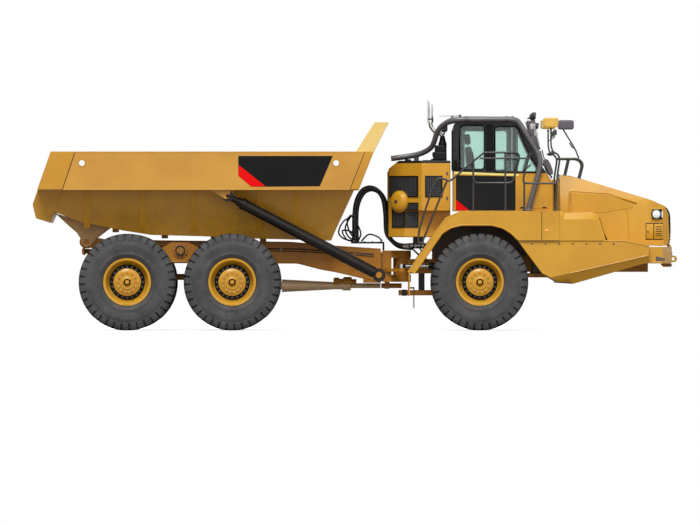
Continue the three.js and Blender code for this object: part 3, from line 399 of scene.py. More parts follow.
def steel(name, main, rough=0.2, metal=1.0, turned_grain=True):
    """Machined or drawn steel with fine lines across it and cloudy roughness."""
    f = Finish(name, Metallic=metal)
    grain = f.noise(40.0, 4.0, 0.6, stretch=(9.0, 1.0, 9.0) if turned_grain else None)
    base = f.mixed(f.between(f.noise(3.0, 4.0), 0.35, 0.7), colour(*main), colour(*(c * 0.8 for c in main)))
    return f.set(Base_Color=base, Roughness=f.between(grain, 0.3, 0.7, rough * 0.7, rough * 1.5),
                 Normal=f.bump(grain, 0.0003, 0.3))


def pane(name, tint):
    """Tinted safety glass: clear, with a faint waviness and a faint film of dust over the pane."""
    f = Finish(name, Transmission_Weight=1.0, IOR=1.45)
    film = f.between(f.noise(6.0, 6.0, 0.7), 0.5, 0.8, 0.02, 0.1)
    base = f.mixed(f.between(f.noise(1.5), 0.3, 0.7), colour(*tint), colour(*(c * 0.97 for c in tint)))
    return f.set(Base_Color=base, Roughness=film, Normal=f.bump(f.noise(2.0, 1.0), 0.002, 0.1))


def cloth():
    """Woven seat cover: over-and-under threads two millimetres apart, with sheen and slight fading."""
    f = Finish("woven_seat_cover", Sheen_Weight=0.4, Sheen_Roughness=0.5, Roughness=0.85)
    across = f.node("ShaderNodeTexWave", {"Vector": f.place, "Scale": 80.0},
                    bands_direction="Y").outputs["Fac"]
    up = f.node("ShaderNodeTexWave", {"Vector": f.place, "Scale": 80.0}, bands_direction="Z").outputs["Fac"]
    weave = f.maths("MULTIPLY", across, up)
    base = f.mixed(f.maths("MULTIPLY", weave, 0.6), colour(38, 39, 42), colour(74, 76, 80))
    base = f.mixed(f.between(f.noise(6.0), 0.4, 0.8, 0.0, 0.3), base, colour(92, 92, 94))
    return f.set(Base_Color=base, Normal=f.bump(weave, 0.0014, 0.8))


def lens(name, main, pitch=60.0):
    """A lamp's lens: pressed ribs behind a smooth face, in its own colour."""
    f = Finish(name, Roughness=0.12, Coat_Weight=1.0, Coat_Roughness=0.03)
    ribs = f.node("ShaderNodeTexWave", {"Vector": f.place, "Scale": pitch},
                  bands_direction="Z").outputs["Fac"]
    base = f.mixed(f.between(ribs, 0.2, 0.9, 0.0, 0.5), colour(*main),
                   colour(*(min(255, c * 1.25 + 12) for c in main)))
    return f.set(Base_Color=base, Normal=f.bump(ribs, 0.0012, 0.5))


def hose_rubber():
    """Wrapped hydraulic hose: a diagonal cloth wrap pressed into black rubber."""
    f = Finish("wrapped_hose")
    wrap = f.node("ShaderNodeTexWave", {"Vector": f.place, "Scale": 75.0, "Distortion": 0.6},
                  bands_direction="DIAGONAL").outputs["Fac"]
    base = f.mixed(f.maths("MULTIPLY", wrap, 0.5), colour(24, 24, 25), colour(50, 50, 51))
    return f.set(Base_Color=base, Roughness=f.between(f.noise(14.0), 0.3, 0.7, 0.42, 0.62),
                 Normal=f.bump(wrap, 0.001, 0.5))


YELLOW = paint("body_yellow", (200, 147, 34), (190, 136, 29), coat=0.15, shine=0.3)
YELLOW_BED = paint("bed_yellow", (196, 141, 34), (185, 129, 28), rough=0.34, dust=0.34, coat=0.12, shine=0.28)
# painted shade: the frames take a darker copy of the body yellow, with dark brown dust towards the ground, for
# the shade under the body
SHADED_FRAME_YELLOW = paint("frame_yellow_painted_shade", (180, 120, 32), (162, 102, 24), rough=0.44, dust=0.32, coat=0.05,
                     soil_and_shade=(124, 86, 40), shine=0.25)
# painted highlight: a pale yellow strip along the cab's belt, for the highlight on its ledge
BELT_HIGHLIGHT_YELLOW = paint("belt_painted_highlight_yellow", (240, 218, 120), (232, 208, 108), dust=0.1)
GREY = paint("chassis_grey_paint", (92, 88, 86), (80, 77, 76), rough=0.42, dust=0.3)
BLACK = paint("gloss_black_paint", (16, 16, 17), (22, 21, 21), dust=0.3, coat=0.0,
              soil_and_shade=(70, 60, 46), shine=0.15)
BED_BLACK = paint("panel_black", (15, 14, 14), (19, 18, 17), rough=0.5, dust=0.1, coat=0.0, shine=0.12)
CYLINDER = paint("cylinder_black", (24, 21, 19), (33, 29, 26), rough=0.3, dust=0.25, coat=0.1,
                 soil_and_shade=(84, 66, 44), shine=0.2)
RED = paint("stripe_red", (226, 8, 8), (212, 6, 6), rough=0.45, dust=0.05, coat=0.0, shine=0.1)
CAB_BLACK = moulded("cab_black_trim", (13, 13, 14), shine=0.12)
DARK_PLASTIC = moulded("dark_moulded_plastic", (40, 40, 42))
GREY_PLASTIC = moulded("grey_moulded_plastic", (78, 78, 80))
SEAL = moulded("window_seal", (18, 18, 19), grain=420.0, rough=0.5, depth=0.0003, shine=0.15)
RUBBER = rubber()
CLOTH = cloth()
GLASS = pane("tinted_cab_glass", (203, 229, 220))
CHROME = steel("bright_pipe_chrome", (216, 216, 214), rough=0.1, turned_grain=False)
ROD = steel("ground_rod_chrome", (206, 206, 208), rough=0.12)
IRON = steel("bare_iron", (96, 92, 88), rough=0.42, metal=0.8)
AMBER = lens("amber_lens", (238, 132, 20))
CLEAR = lens("clear_lens", (226, 230, 232), 90.0)
RED_LENS = lens("red_lens", (176, 18, 16))
HOSE = hose_rubber()
MIRROR = steel("mirror_face", (206, 214, 220), rough=0.03, turned_grain=False)


# ---------------------------------------------------------------- camera, light and floor
def soft_sun(name, energy, spread, turn):
    """A distant light whose disc is spread degrees wide, turned by degrees about x, y and z."""
    lamp = bpy.data.lights.new(name, "SUN")
    lamp.energy, lamp.angle = energy, math.radians(spread)
    linked(name, lamp, rotation_euler=[math.radians(a) for a in turn])


def studio():
    """A long lens square to the right side, a high soft sun, a side fill, and a sky that is brighter
    overhead. What the camera sees past the floor, directly, through glass or in a reflection, is white."""
    distance, frame_width, machine_half = 200.0, 11.347, 1.0
    camera = bpy.data.cameras.new("camera")
    camera.sensor_width = 36.0
    camera.lens = camera.sensor_width * (distance - machine_half) / frame_width
    camera.clip_start, camera.clip_end = 10.0, 600.0
    bpy.context.scene.camera = linked("camera", camera, location=(-0.085, -distance, 1.103),
                                      rotation_euler=(math.radians(90), 0, 0))
    bpy.context.scene.view_settings.view_transform = "Standard"
    soft_sun("high_sun", 2.5, 22, (38, -9, 0))
    soft_sun("side_fill", 0.75, 60, (78, 0, 18))
    world = bpy.data.worlds.new("pale_sky")
    bpy.context.scene.world = world
    sky = Nodes(world)
    sky.tree.nodes.clear()
    ray = sky.node("ShaderNodeLightPath").outputs
    seen = sky.maths("MAXIMUM", ray["Is Camera Ray"],
                     sky.maths("MAXIMUM", ray["Is Glossy Ray"], ray["Is Transmission Ray"]))
    way = sky.node("ShaderNodeTexCoord").outputs["Generated"]
    rise = sky.node("ShaderNodeSeparateXYZ", {0: way}).outputs[2]
    light = sky.glowing((0.95, 0.97, 1.0, 1.0), sky.between(rise, 0.02, 0.9, 0.2, 0.95))
    sky.node("ShaderNodeOutputWorld", {0: sky.blended(seen, light, sky.glowing((1.0, 1.0, 1.0, 1.0), 1.0))})


def floor():
    """A flat white floor. To the camera it glows a little under its shadow, and it lights the machine as mid
    grey."""
    half, glow = 45.0, 0.42
    material = bpy.data.materials.new("studio_floor")
    f = Nodes(material)
    f.tree.nodes.clear()
    dull = f.node("ShaderNodeBsdfDiffuse", {0: (0.3, 0.29, 0.28, 1)}).outputs[0]
    pale = f.node("ShaderNodeBsdfDiffuse", {0: (0.96, 0.96, 0.96, 1)}).outputs[0]
    lit = f.node("ShaderNodeAddShader", {0: pale, 1: f.node("ShaderNodeEmission",
                                                            {1: glow}).outputs[0]}).outputs[0]
    seen = f.node("ShaderNodeLightPath").outputs["Is Camera Ray"]
    f.node("ShaderNodeOutputMaterial", {0: f.blended(seen, dull, lit)})
    mesh = bpy.data.meshes.new("studio_floor")
    mesh.from_pydata([(-half, -half, 0), (half, -half, 0), (half, half, 0), (-half, half, 0)], [],
                     [(0, 1, 2, 3)])
    mesh.materials.append(material)
    linked("studio_floor", mesh)


# ---------------------------------------------------------------- wheels
WHEEL_X = {"front": 2.016, "middle": -1.992, "rear": -3.692}
WHEEL_Y, WHEEL_Z = 1.1375, 0.785
LUGS = 36
# Half of the tyre's section in millimetres, from the bead out to the middle of the tread: radius, distance
# from the middle, share of the groove's depth.
TYRE_SECTION = np.array([
    (346, 224, 0), (388.5, 227, 0), (397, 252, 0), (412, 264, 0), (448, 278, 0), (456, 284, 0), (464, 281, 0),
    (520, 292, 0), (590, 297, 0), (634, 294, 0), (640, 290, 0), (668, 289, 0), (692, 287, .55), (712, 283, 1),
    (742, 275, 1), (764, 264, 1), (777, 251, 1), (784, 236, 1), (785, 214, 1), (785, 150, 1), (785, 86, 1),
    (785, 40, .8), (785, 18, .35)])
GROOVE = 0.034  # depth between two lugs


def tyre(axle, side, sign):
    """A section turned about the axle: each lug takes one step of the turn, and the faces between lugs sink
    along the section's normal. The lugs slant towards the middle, where the two halves are half a step
    apart."""
    full = np.concatenate([TYRE_SECTION, TYRE_SECTION[::-1] * (1, -1, 1)])
    radius, width, depth = full[:, 0] / 1000, full[:, 1] / 1000, full[:, 2] * GROOVE
    along = np.gradient(np.stack([radius, width], 1), axis=0)
    along /= np.linalg.norm(along, axis=1)[:, None]
    inward_r, inward_y = along[:, 1], -along[:, 0]
    flip = np.where(inward_r * 1.0 + inward_y * np.sign(width) * 0.6 > 0, -1, 1)
    inward_r, inward_y = inward_r * flip, inward_y * flip
    phase = np.array([0.0, 0.05, 0.25, 0.3, 0.53, 0.77])
    sunk = np.array([0.0, 1.0, 1.0, 0.0, 0.0, 0.0])
    turn = (np.arange(LUGS)[:, None] + phase).ravel()[:, None]
    sink = np.tile(sunk, LUGS)[:, None] * depth
    slant = 0.55 * np.minimum(np.abs(width), 0.2) / 0.2 + np.where(width > 0, 0.5, 0.0)
    angle = 2 * math.pi * (turn + slant) / LUGS * sign
    r = radius + inward_r * sink
    y = sign * WHEEL_Y + width + inward_y * sink
    grid = np.stack([WHEEL_X[axle] + r * np.cos(angle), np.broadcast_to(y, r.shape),
                     WHEEL_Z + r * np.sin(angle)], -1)
    piece(f"tyre_tread_{axle}_{side}", [lattice(grid, around=True, along=True)], RUBBER,
          f"wheel_{axle}_{side}", [f"tyre_{axle}_{side}"], crease=32)


WHEEL_FACE = [(206, 0), (206, 112), (202, 122), (192, 128), (192, 176), (188, 182), (176, 206),
              (170, 220), (160, 224),
              (76, 224), (70, 230), (70, 270), (74, 278), (84, 288), (92, 300), (96, 304),
              (140, 314), (150, 318),
              (158, 326), (206, 333), (222, 337), (240, 346), (248, 352), (250, 358), (250, 384), (246, 388),
              (232, 388), (229, 384), (228.3, 344.6)]
WHEEL_BACK = [(-228.3, 344.6), (-229, 384), (-232, 388), (-246, 388), (-250, 384), (-250, 330), (-246, 325),
              (8, 322), (20.2, 304), (20.2, 0)]


def wheel(axle, side, sign):
    """A turned rim, disc and hub with its gap lined in black as painted shade, hub bolts, wheel nuts, oil plug,
    lock ring and tyre valve.
    """
    centre = np.array((WHEEL_X[axle], sign * WHEEL_Y, WHEEL_Z))
    out = (0, sign, 0)
    profile = np.array(WHEEL_FACE + WHEEL_BACK) / 1000

    def at(s, r, t=0.0):
        return centre + np.array((r * math.cos(t), sign * s, r * math.sin(t)))
    shapes = [
        turned(profile, centre, out, 96),
        # the groove between hub and rim lined in black: painted shade
        turned(np.array([(152, 224.5), (76, 225.2), (71.2, 231), (71.2, 270), (75.5, 277.6), (85.2, 287.2),
                         (82, 289), (66, 272), (66, 220), (152, 220)]) / 1000, centre, out, 72, 1),
        ring_of(hexagon(at(0.19, 0.15), out, 0.017, 0.024), centre, (0, 1, 0), 12),
        ring_of(hexagon(at(0.071, 0.25), out, 0.015, 0.026, number=2), centre, (0, 1, 0), 20),
        ring_of(hexagon(at(0.168, 0.2135), out, 0.007, 0.008), centre, (0, 1, 0), 24),
        hexagon(at(0.206, 0.0), out, 0.026, 0.008),
        hexagon(at(0.206, 0.085, 0.6), out, 0.015, 0.008),
        turned(np.array([(0, 100), (0, 118), (3, 116), (3, 104)]) / 1000, at(0.2062, 0), out, 48),
        tube([at(0.1, 0.296, -1.3), at(0.15, 0.305, -1.3), at(0.176, 0.3, -1.3)], [0.006, 0.006, 0.004], 8,
             number=2),
        slab([(WHEEL_X[axle] - 0.07, WHEEL_Z - 0.372), (WHEEL_X[axle] + 0.07, WHEEL_Z - 0.372),
              (WHEEL_X[axle] + 0.066, WHEEL_Z - 0.352), (WHEEL_X[axle] - 0.066, WHEEL_Z - 0.352)],
             sign * (WHEEL_Y + 0.244), sign * (WHEEL_Y + 0.2535), 0.002),
    ]
    piece(f"wheel_face_{axle}_{side}", shapes, [YELLOW, BLACK, IRON], f"wheel_{axle}_{side}",
          [f"rim_{axle}_{side}"], crease=30)


# ---------------------------------------------------------------- dump body
BED_RAIL = 1.38
BED_FLAG = [(-1.8926, 2.8275), (-0.3623, 2.8275), (-0.573, 2.3364), (-1.68, 2.3266), (-1.8926, 2.503)]
BED_STRIPE = [(-1.8829, 2.6783), (-1.4517, 2.3363), (-1.68, 2.3286), (-1.8906, 2.503)]


def bed_details():
    """What stands on the load body: plain side panels with a stripe, end strips and seams, reflectors, rolled
    edges, upright stiffeners, plates over the hoist pins and ribs under the floor."""
    shapes = []
    for sign in (1, -1):
        y = sign * BED_RAIL
        shapes += [
            slab(BED_FLAG, y - sign * 0.002, y + sign * 0.0025, 0.0008, number=1),
            slab(BED_STRIPE, y + sign * 0.001, y + sign * 0.0045, 0.0008, number=2),
        ]
        # the folded end strip of the rail, with its dark seam, and the front edge strip
        shapes += [
            slab([(-4.912, 2.891), (-4.536, 2.891), (-4.741, 2.285), (-5.136, 2.285)], y,
                 y + sign * 0.006, 0.003),
            tube([(-4.536, y + sign * 0.004, 2.886), (-4.741, y + sign * 0.004, 2.283)], 0.006, 8, number=3),
            tube([(-4.741, sign * 1.066, 2.27), (-4.872, sign * 0.925, 1.935)], 0.01, 8),
            slab([(0.155, 2.893), (0.295, 2.893), (0.055, 2.285), (-0.085, 2.285)], y,
                 y + sign * 0.006, 0.003),
            tube([(0.155, y + sign * 0.004, 2.886), (-0.085, y + sign * 0.004, 2.286)], 0.005, 8, number=3),
        ]
        # side reflectors: a pale disc in a raised ring
        for x in (-4.423, -0.31):
            shapes += [
                turned([(0, 0), (0, 0.047), (-0.004, 0.047), (-0.004, 0)], (x, y + sign * 0.0045, 2.712),
                       (0, sign, 0), 40, 4),
                turned([(0, 0.046), (0.005, 0.049), (0.005, 0.06), (0, 0.063), (-0.003, 0.063),
                        (-0.003, 0.046)],
                       (x, y, 2.712), (0, sign, 0), 40),
            ]
        # rolled edge along the top and foot of the rail
        shapes += [
            tube([(-4.908, sign * 1.372, 2.8845), (0.285, sign * 1.372, 2.8845)], 0.012, 10),
            tube([(-4.73, sign * 1.374, 2.2835), (-0.1, sign * 1.374, 2.2835)], 0.01, 10),
        ]
        # shallow upright stiffeners on the sloped lower side, whose y is linear in z
        slope = lambda z: sign * (0.77 + (z - 1.5) * (1.06 - 0.77) / (2.28 - 1.5))
        for x, foot in ((-4.35, 1.66), (-3.45, 1.62), (-2.62, 1.6), (-1.55, 1.6), (-0.95, 1.66)):
            outer = [(foot, 0.001), (foot + 0.03, 0.01), (2.24, 0.01), (2.27, 0.001)]
            inner = [(z, -0.01) for z, _ in outer[::-1]]
            shapes.append(capped(np.array([[(x - w, slope(z) + sign * d, z) for z, d in outer + inner]
                                           for w in (0.05, 0.044, -0.044, -0.05)])))
        # cover plate on the hoist's upper pin
        shapes += [
            turned([(0, 0), (0, 0.05), (0.006, 0.054), (0.014, 0.05), (0.014, 0)],
                   (-2.063, sign * 1.279, 2.18), (0, sign, 0), 32, 3),
            slab([(-2.36, 2.286), (-2.01, 2.286), (-2.04, 2.15), (-2.1, 2.128)], sign * 1.28,
                 sign * 1.296, 0.003),
            hexagon((-2.063, sign * 1.295, 2.18), (0, sign, 0), 0.022, 0.012, number=3),
        ]
    # cross ribs under the floor
    for x, z in ((-3.9, 1.645), (-3.1, 1.545), (-2.3, 1.522), (-1.5, 1.488)):
        shapes.append(brick((x - 0.05, -0.28, z - 0.05), (x + 0.05, 0.28, z + 0.02), 0.006))
    piece("bed_details", shapes, [YELLOW_BED, BED_BLACK, RED, SEAL, CLEAR], "dump_body")


def bed_floor_finish():
    """The bed's paint, with bright scratched steel and dust where the load slides, on faces that look up or in,
    and painted shade: blotches of darker brown towards the bottom of the bed."""
    f = Finish("worn_bed_steel_painted_shade", Coat_Weight=0.1)
    normal = f.node("ShaderNodeTexCoord").outputs["Normal"]
    up = f.node("ShaderNodeSeparateXYZ", {0: normal}).outputs[2]
    clouds = f.noise(1.7, 5.0)
    base = f.mixed(f.between(clouds, 0.35, 0.68), colour(197, 142, 38), colour(186, 130, 32))
    scratches = f.noise(7.0, 8.0, 0.75, stretch=(0.16, 2.6, 1.0))
    load = f.maths("MULTIPLY", f.between(up, 0.12, 0.35), f.between(scratches, 0.25, 0.6, 0.45, 0.9))
    base = f.mixed(load, base, colour(134, 118, 92))
    # painted shade: blotches of darker brown towards the bottom of the bed
    low = f.maths("MULTIPLY", f.between(f.height(), 1.4, 2.4, 0.55, 0.0),
                  f.between(f.noise(5.0, 7.0, 0.7), 0.35, 0.7))
    base = f.mixed(low, base, colour(128, 96, 48))
    peel = f.bump(f.noise(180.0, 2.0), 0.0006, 0.25)
    return f.set(Base_Color=base, Roughness=f.maths("ADD", 0.34, f.maths("MULTIPLY", load, 0.25)),
                 Metallic=f.maths("MULTIPLY", load, 0.6), Normal=f.bump(scratches, 0.002, 0.25, peel))


# ---------------------------------------------------------------- cab
CAB_SIDE = 0.79
CAB_FLAG = [(1.633, 2.518), (2.601, 2.5), (2.601, 1.947), (1.633, 1.947)]
CAB_STRIPE = [(1.633, 2.125), (1.849, 1.949), (1.633, 1.949)]
CAB_BELT = [(1.6, 2.58), (2.655, 2.535), (2.655, 2.502), (1.6, 2.536)]
BELT_Z = 2.552  # the cab is black above and yellow below
LID_Z = 2.714  # the cooling box's lid is black above and yellow below


def window_seal(outline, y, number=0):
    """A rounded rubber profile carried round a window's outline."""
    path = np.array([(x, y, z) for x, z in outline], float)
    closed = np.concatenate([(path[-1:] + path[:1]) / 2, path, (path[-1:] + path[:1]) / 2])
    return tube(closed, 0.014, 8, bend=0.06, number=number)


REAR_WINDOW = xz([(-321, 1827), (82, 1827), (82, 2547), (-270, 2547), (-321, 2487)])
FRONT_WINDOW = xz([(248, 1785), (985, 1785), (975, 1815), (790, 2114), (610, 2527), (248, 2527)])
QUARTER_WINDOW = xz([(632, 1785), (985, 1785), (975, 1815), (790, 2114), (640, 2460), (632, 2460)])
DOOR_WINDOW = xz(box_of(-240, 1827, 470, 2480))


def cab_details():
    """Fixed trim of the cab: panels, belt, seals, pillar cover, drip rails, access covers, roof cap with its
    vent, wiper, overhead console, blind roller and floor mat."""
    y = -CAB_SIDE
    shapes = [
        slab(CAB_FLAG, y + 0.002, y - 0.003, 0.001, number=1),
        slab(CAB_STRIPE, y - 0.001, y - 0.005, 0.001, number=2),
        # the belt strip in pale yellow, a painted highlight
        slab(CAB_BELT, y + 0.002, y - 0.008, 0.003, number=3),
        slab([(1.597, 2.775), (1.64, 2.775), (1.69, 2.64), (1.8, 2.59), (1.8, 2.56), (1.597, 2.578)],
             y + 0.002, y - 0.006, 0.002, number=4),
        window_seal(REAR_WINDOW, y - 0.002, 5), window_seal(FRONT_WINDOW, y - 0.002, 5),
        window_seal(QUARTER_WINDOW, -y + 0.002, 5),
        # door pillar's cover with its groove, and the drip rail along the roof
        slab(box_of(2.122, 2.585, 2.24, 3.345), y + 0.002, y - 0.01, 0.004, number=4),
        tube([(2.181, y - 0.011, 2.6), (2.181, y - 0.011, 3.33)], 0.006, 8, number=5),
    ]
    for sign in (1, -1):
        shapes.append(tube([(1.66, sign * 0.796, 3.395), (2.6, sign * 0.796, 3.395),
                            (2.7, sign * 0.796, 3.34)],
                           0.014, 8, bend=0.05, number=4))
        # lower front panel of the cab: a pressed access cover with two latches
        shapes += [
            slab([(2.64, 1.975), (3.16, 1.975), (3.16, 2.16), (2.64, 2.2)], sign * 0.788,
                 sign * 0.796, 0.004),
            rows_of(brick((2.68, sign * 0.792, 1.985), (2.74, sign * 0.804, 2.005), 0.003, number=4),
                    [(0, 0, 0), (0.36, 0, 0)]),
            rows_of(hexagon((1.625, sign * 0.79, 2.6), (0, sign, 0), 0.008, 0.006, number=4),
                    [(0, 0, 0.16 * k) for k in range(5)]),
        ]
    # roof: a domed cap with an air vent, and the rear window's seal and bars
    shapes += [
        slab([(1.7, -0.66), (2.5, -0.66), (2.6, -0.5), (2.6, 0.5), (2.5, 0.66), (1.7, 0.66), (1.66, 0.5),
              (1.66, -0.5)], 3.437, 3.474, 0.018, way="z", number=4),
        rows_of(brick((1.8, -0.22, 3.472), (1.82, 0.22, 3.484), 0.003, number=5),
                [(0.045 * k, 0, 0) for k in range(8)]),
    ]
    rear = [(1.5865, yy, zz) for yy, zz in ((-0.6, 2.612), (0.6, 2.612), (0.6, 3.255), (-0.6, 3.255))]
    shapes.append(tube([(1.5865, 0, 2.612)] + rear[1:] + rear[:1] + [(1.5865, -0.001, 2.612)], 0.014, 8,
                       bend=0.06, number=5))
    # wiper on the windscreen: arm, blade and motor cap
    slope = (np.array((3.141, 0, 2.461)) - (2.868, 0, 2.875))
    up = lambda f, yy, off=0.0: tuple(np.array((3.141, yy,
                                                2.461)) - slope * f + np.array((0.045 + off, 0, 0.03)))
    shapes += [
        turned([(0, 0), (0, 0.036), (0.022, 0.032), (0.03, 0.0)], up(0.02, 0.12), (0.83, 0, 0.55), 20, 4),
        tube([up(0.04, 0.12, 0.02), up(0.52, -0.02, 0.012), up(1.0, -0.16)], 0.009, 8, number=4),
        tube([up(0.45, -0.3), up(1.0, -0.12), up(1.25, -0.03)], 0.0075, 8, number=5),
    ]
    # inside: overhead console, sun blind roller, floor mat
    shapes += [
        brick((1.78, -0.52, 3.245), (2.36, 0.52, 3.33), 0.02, number=6),
        tube([(2.5, -0.6, 3.285), (2.5, 0.6, 3.285)], 0.028, 16, number=5),
        brick((1.72, -0.66, 2.0), (2.5, 0.66, 2.006), 0.002, number=5),
    ]
    piece("cab_trim", shapes, [YELLOW, BLACK, RED, BELT_HIGHLIGHT_YELLOW, CAB_BLACK, SEAL, GREY_PLASTIC],
          "tractor")


def door_details():
    """The left door's panel, belt, seal, recessed handle, lock and hinge bolts."""
    y = CAB_SIDE
    shapes = [
        slab([(x if x < 2.5 else 2.545, z) for x, z in [(1.7, 2.512), (2.601, 2.5), (2.601, 2.03),
                                                        (1.7, 2.03)]],
             y - 0.002, y + 0.003, 0.001, number=1),
        slab([(1.7, 2.19), (1.898, 2.032), (1.7, 2.032)], y + 0.001, y + 0.005, 0.001, number=2),
        # the door's belt strip in pale yellow, a painted highlight
        slab([(1.695, 2.576), (2.548, 2.54), (2.548, 2.506), (1.695, 2.534)], y - 0.002, y + 0.008,
             0.003, number=3),
        window_seal(DOOR_WINDOW, y + 0.002, 5),
        slab(box_of(2.36, 2.4, 2.5, 2.49), y - 0.002, y + 0.006, 0.003, number=5),
        tube([(2.375, y + 0.006, 2.455), (2.385, y + 0.022, 2.455), (2.475, y + 0.022, 2.455),
              (2.485, y + 0.006, 2.455)], 0.008, 8, bend=0.01, number=4),
        turned([(0, 0), (0, 0.013), (0.004, 0.012), (0.005, 0)], (2.49, y + 0.006, 2.42), (0, 1, 0), 16, 6),
    ]
    piece("cab_door_trim", shapes, [YELLOW, BLACK, RED, BELT_HIGHLIGHT_YELLOW, CAB_BLACK, SEAL, GREY_PLASTIC],
          "cab_door")


def cushion(low, high, power=0.28, crown=0.0, way=2, number=0, steps=(36, 22)):
    """A stuffed form between two corners: a box whose edges and corners are rounded by the power of its sines
    and cosines, with one face raised by crown in its middle, and a piped seam round its waist."""
    low, high = np.asarray(low, float), np.asarray(high, float)
    u = np.linspace(0, 2 * math.pi, steps[0], endpoint=False)[:, None]
    v = np.linspace(-math.pi / 2, math.pi / 2, steps[1])[None, :]
    soft = lambda w: np.sign(w) * np.abs(w) ** power
    unit = np.stack([soft(np.cos(u)) * soft(np.cos(v)), soft(np.sin(u)) * soft(np.cos(v)),
                     soft(np.sin(v)) + 0 * u], -1)
    order = {2: [0, 1, 2], 0: [2, 0, 1], 1: [1, 2, 0]}[way]
    unit = unit[..., order]
    rise = crown * np.clip(unit[..., way], 0, 1) * np.prod([1 - unit[..., k] ** 2
                                                            for k in range(3) if k != way], 0)
    waist = 1 + 0.012 * np.exp(-(unit[..., way] / 0.06) ** 2)
    grid = (low + high) / 2 + unit * (high - low) / 2 * waist[..., None]
    grid[..., way] += rise
    return lattice(grid, around=True, number=number)


def seat():
    """The driver's seat: crowned cushion and back with side bolsters, a headrest, plastic pan, and sprung
    base."""
    mat = 2.0  # top of the cab's floor
    cushions = [
        cushion((1.91, -0.25, mat + 0.27), (2.41, 0.25, mat + 0.392), crown=0.012),
        cushion((1.96, -0.255, mat + 0.33), (2.38, -0.185, mat + 0.398)),
        cushion((1.96, 0.185, mat + 0.33), (2.38, 0.255, mat + 0.398)),
    ]
    back = []
    for low, high, crown in (((-0.06, -0.235, 0.02), (0.055, 0.235, 0.66), 0.014), ((0.0, -0.24, 0.06),
                             (0.075, -0.165, 0.58), 0), ((0.0, 0.165, 0.06), (0.075, 0.24, 0.58), 0),
                             ((-0.045, -0.13, 0.7), (0.045, 0.13, 0.865), 0.006)):
        points, faces, number = cushion(low, high, crown=crown, way=0)
        c, s = math.cos(-0.1), math.sin(-0.1)
        turned_back = np.stack([points[:, 0] * c + points[:, 2] * s, points[:, 1],
                                -points[:, 0] * s + points[:, 2] * c], 1)
        back.append((turned_back + (1.905, 0, mat + 0.33), faces, number))
    made = piece("seat_cushions", cushions + back, CLOTH, "tractor", ["seat"], crease=60)
    frame_shapes = [
        brick((1.96, -0.17, mat + 0.004), (2.3, 0.17, mat + 0.045), 0.01),
        brick((1.94, -0.2, mat + 0.225), (2.34, 0.2, mat + 0.268), 0.012),
        tube([(1.99, -0.12, mat + 0.04), (2.27, -0.12, mat + 0.235)], 0.018, 10),
        tube([(2.27, 0.12, mat + 0.04), (1.99, 0.12, mat + 0.235)], 0.018, 10),
        tube([(1.855, -0.06, mat + 0.93), (1.835, -0.06, mat + 1.04)], 0.008, 8, number=1),
        tube([(1.855, 0.06, mat + 0.93), (1.835, 0.06, mat + 1.04)], 0.008, 8, number=1),
        brick((1.98, 0.262, mat + 0.4), (2.3, 0.31, mat + 0.455), 0.018),
        brick((1.98, -0.31, mat + 0.4), (2.3, -0.262, mat + 0.455), 0.018),
        tube([(2.26, -0.286, mat + 0.45), (2.27, -0.286, mat + 0.56)], [0.012, 0.022], 12),
    ]
    piece("seat_frame", frame_shapes, [DARK_PLASTIC, ROD], "tractor")


def glazing():
    """Glass nodes keep their shape and take the glass finish."""
    for node in ("windscreen", "rear_glass", "side_glass_right", "quarter_glass_left", "door_glass"):
        data = frame["nodes"][node].data
        data.materials.clear()
        data.materials.append(GLASS)


# ---------------------------------------------------------------- roof bar, exhaust, intake, cooling box
def roof_bar():
    """The roll-over bar: legs, roof rails and cross bars as one round pipe run, with feet, clamps and
    saddles."""
    y = CAB_SIDE + 0.06
    shapes = []
    run = xz([(791, 1173), (1018, 1984), (640, 2600), (570, 2642), (-440, 2642)])
    for s in (1, -1):
        front = [(x, s * y, z) for x, z in run]
        tail = [(x + 2.016, s * v, z + 0.785) for x, v, z in (
            (-0.59, y - 0.12, 2.56), (-0.684, y - 0.22, 2.453), (-0.725, y - 0.3, 2.295),
            (-0.775, y - 0.38, 2.18), (-0.978, 0.33, 2.072), (-1.43, 0.3, 2.01))]
        shapes.append(tube(front + tail, 0.043, 20, bend=0.2))
        shapes += [
            brick((2.757, s * (y - 0.045), 1.9385), (2.857, s * (y + 0.058), 1.975), 0.006),
            rows_of(hexagon((2.775, s * (y - 0.02), 1.975), UP, 0.011, 0.012, number=1),
                    [(0, 0, 0), (0.065, 0, 0), (0.065, s * 0.055, 0), (0, s * 0.055, 0)]),
            brick((0.957, s * 0.292, 2.7565), (1.035, s * 0.348, 2.862), 0.006),
        ]
        for x, z in ((2.46, 3.427), (1.8, 3.427)):
            shapes.append(turned([(-0.03, 0.0425), (-0.03, 0.049), (0.03, 0.049), (0.03, 0.0425)],
                                 (x, s * y, z), AHEAD, 20, 1))
    for x in (2.556, 1.576):
        shapes.append(tube([(x, -y, 3.427), (x, 0.07 - y, 3.462), (x, y - 0.07, 3.462), (x, y, 3.427)], 0.024,
                           16, bend=0.05))
    # the pipe's mid grey paint is a painted highlight on a black bar
    piece("roof_bar_pipe", shapes, [BAR_HIGHLIGHT_GREY, IRON], "tractor", ["rops_frame"], crease=45)


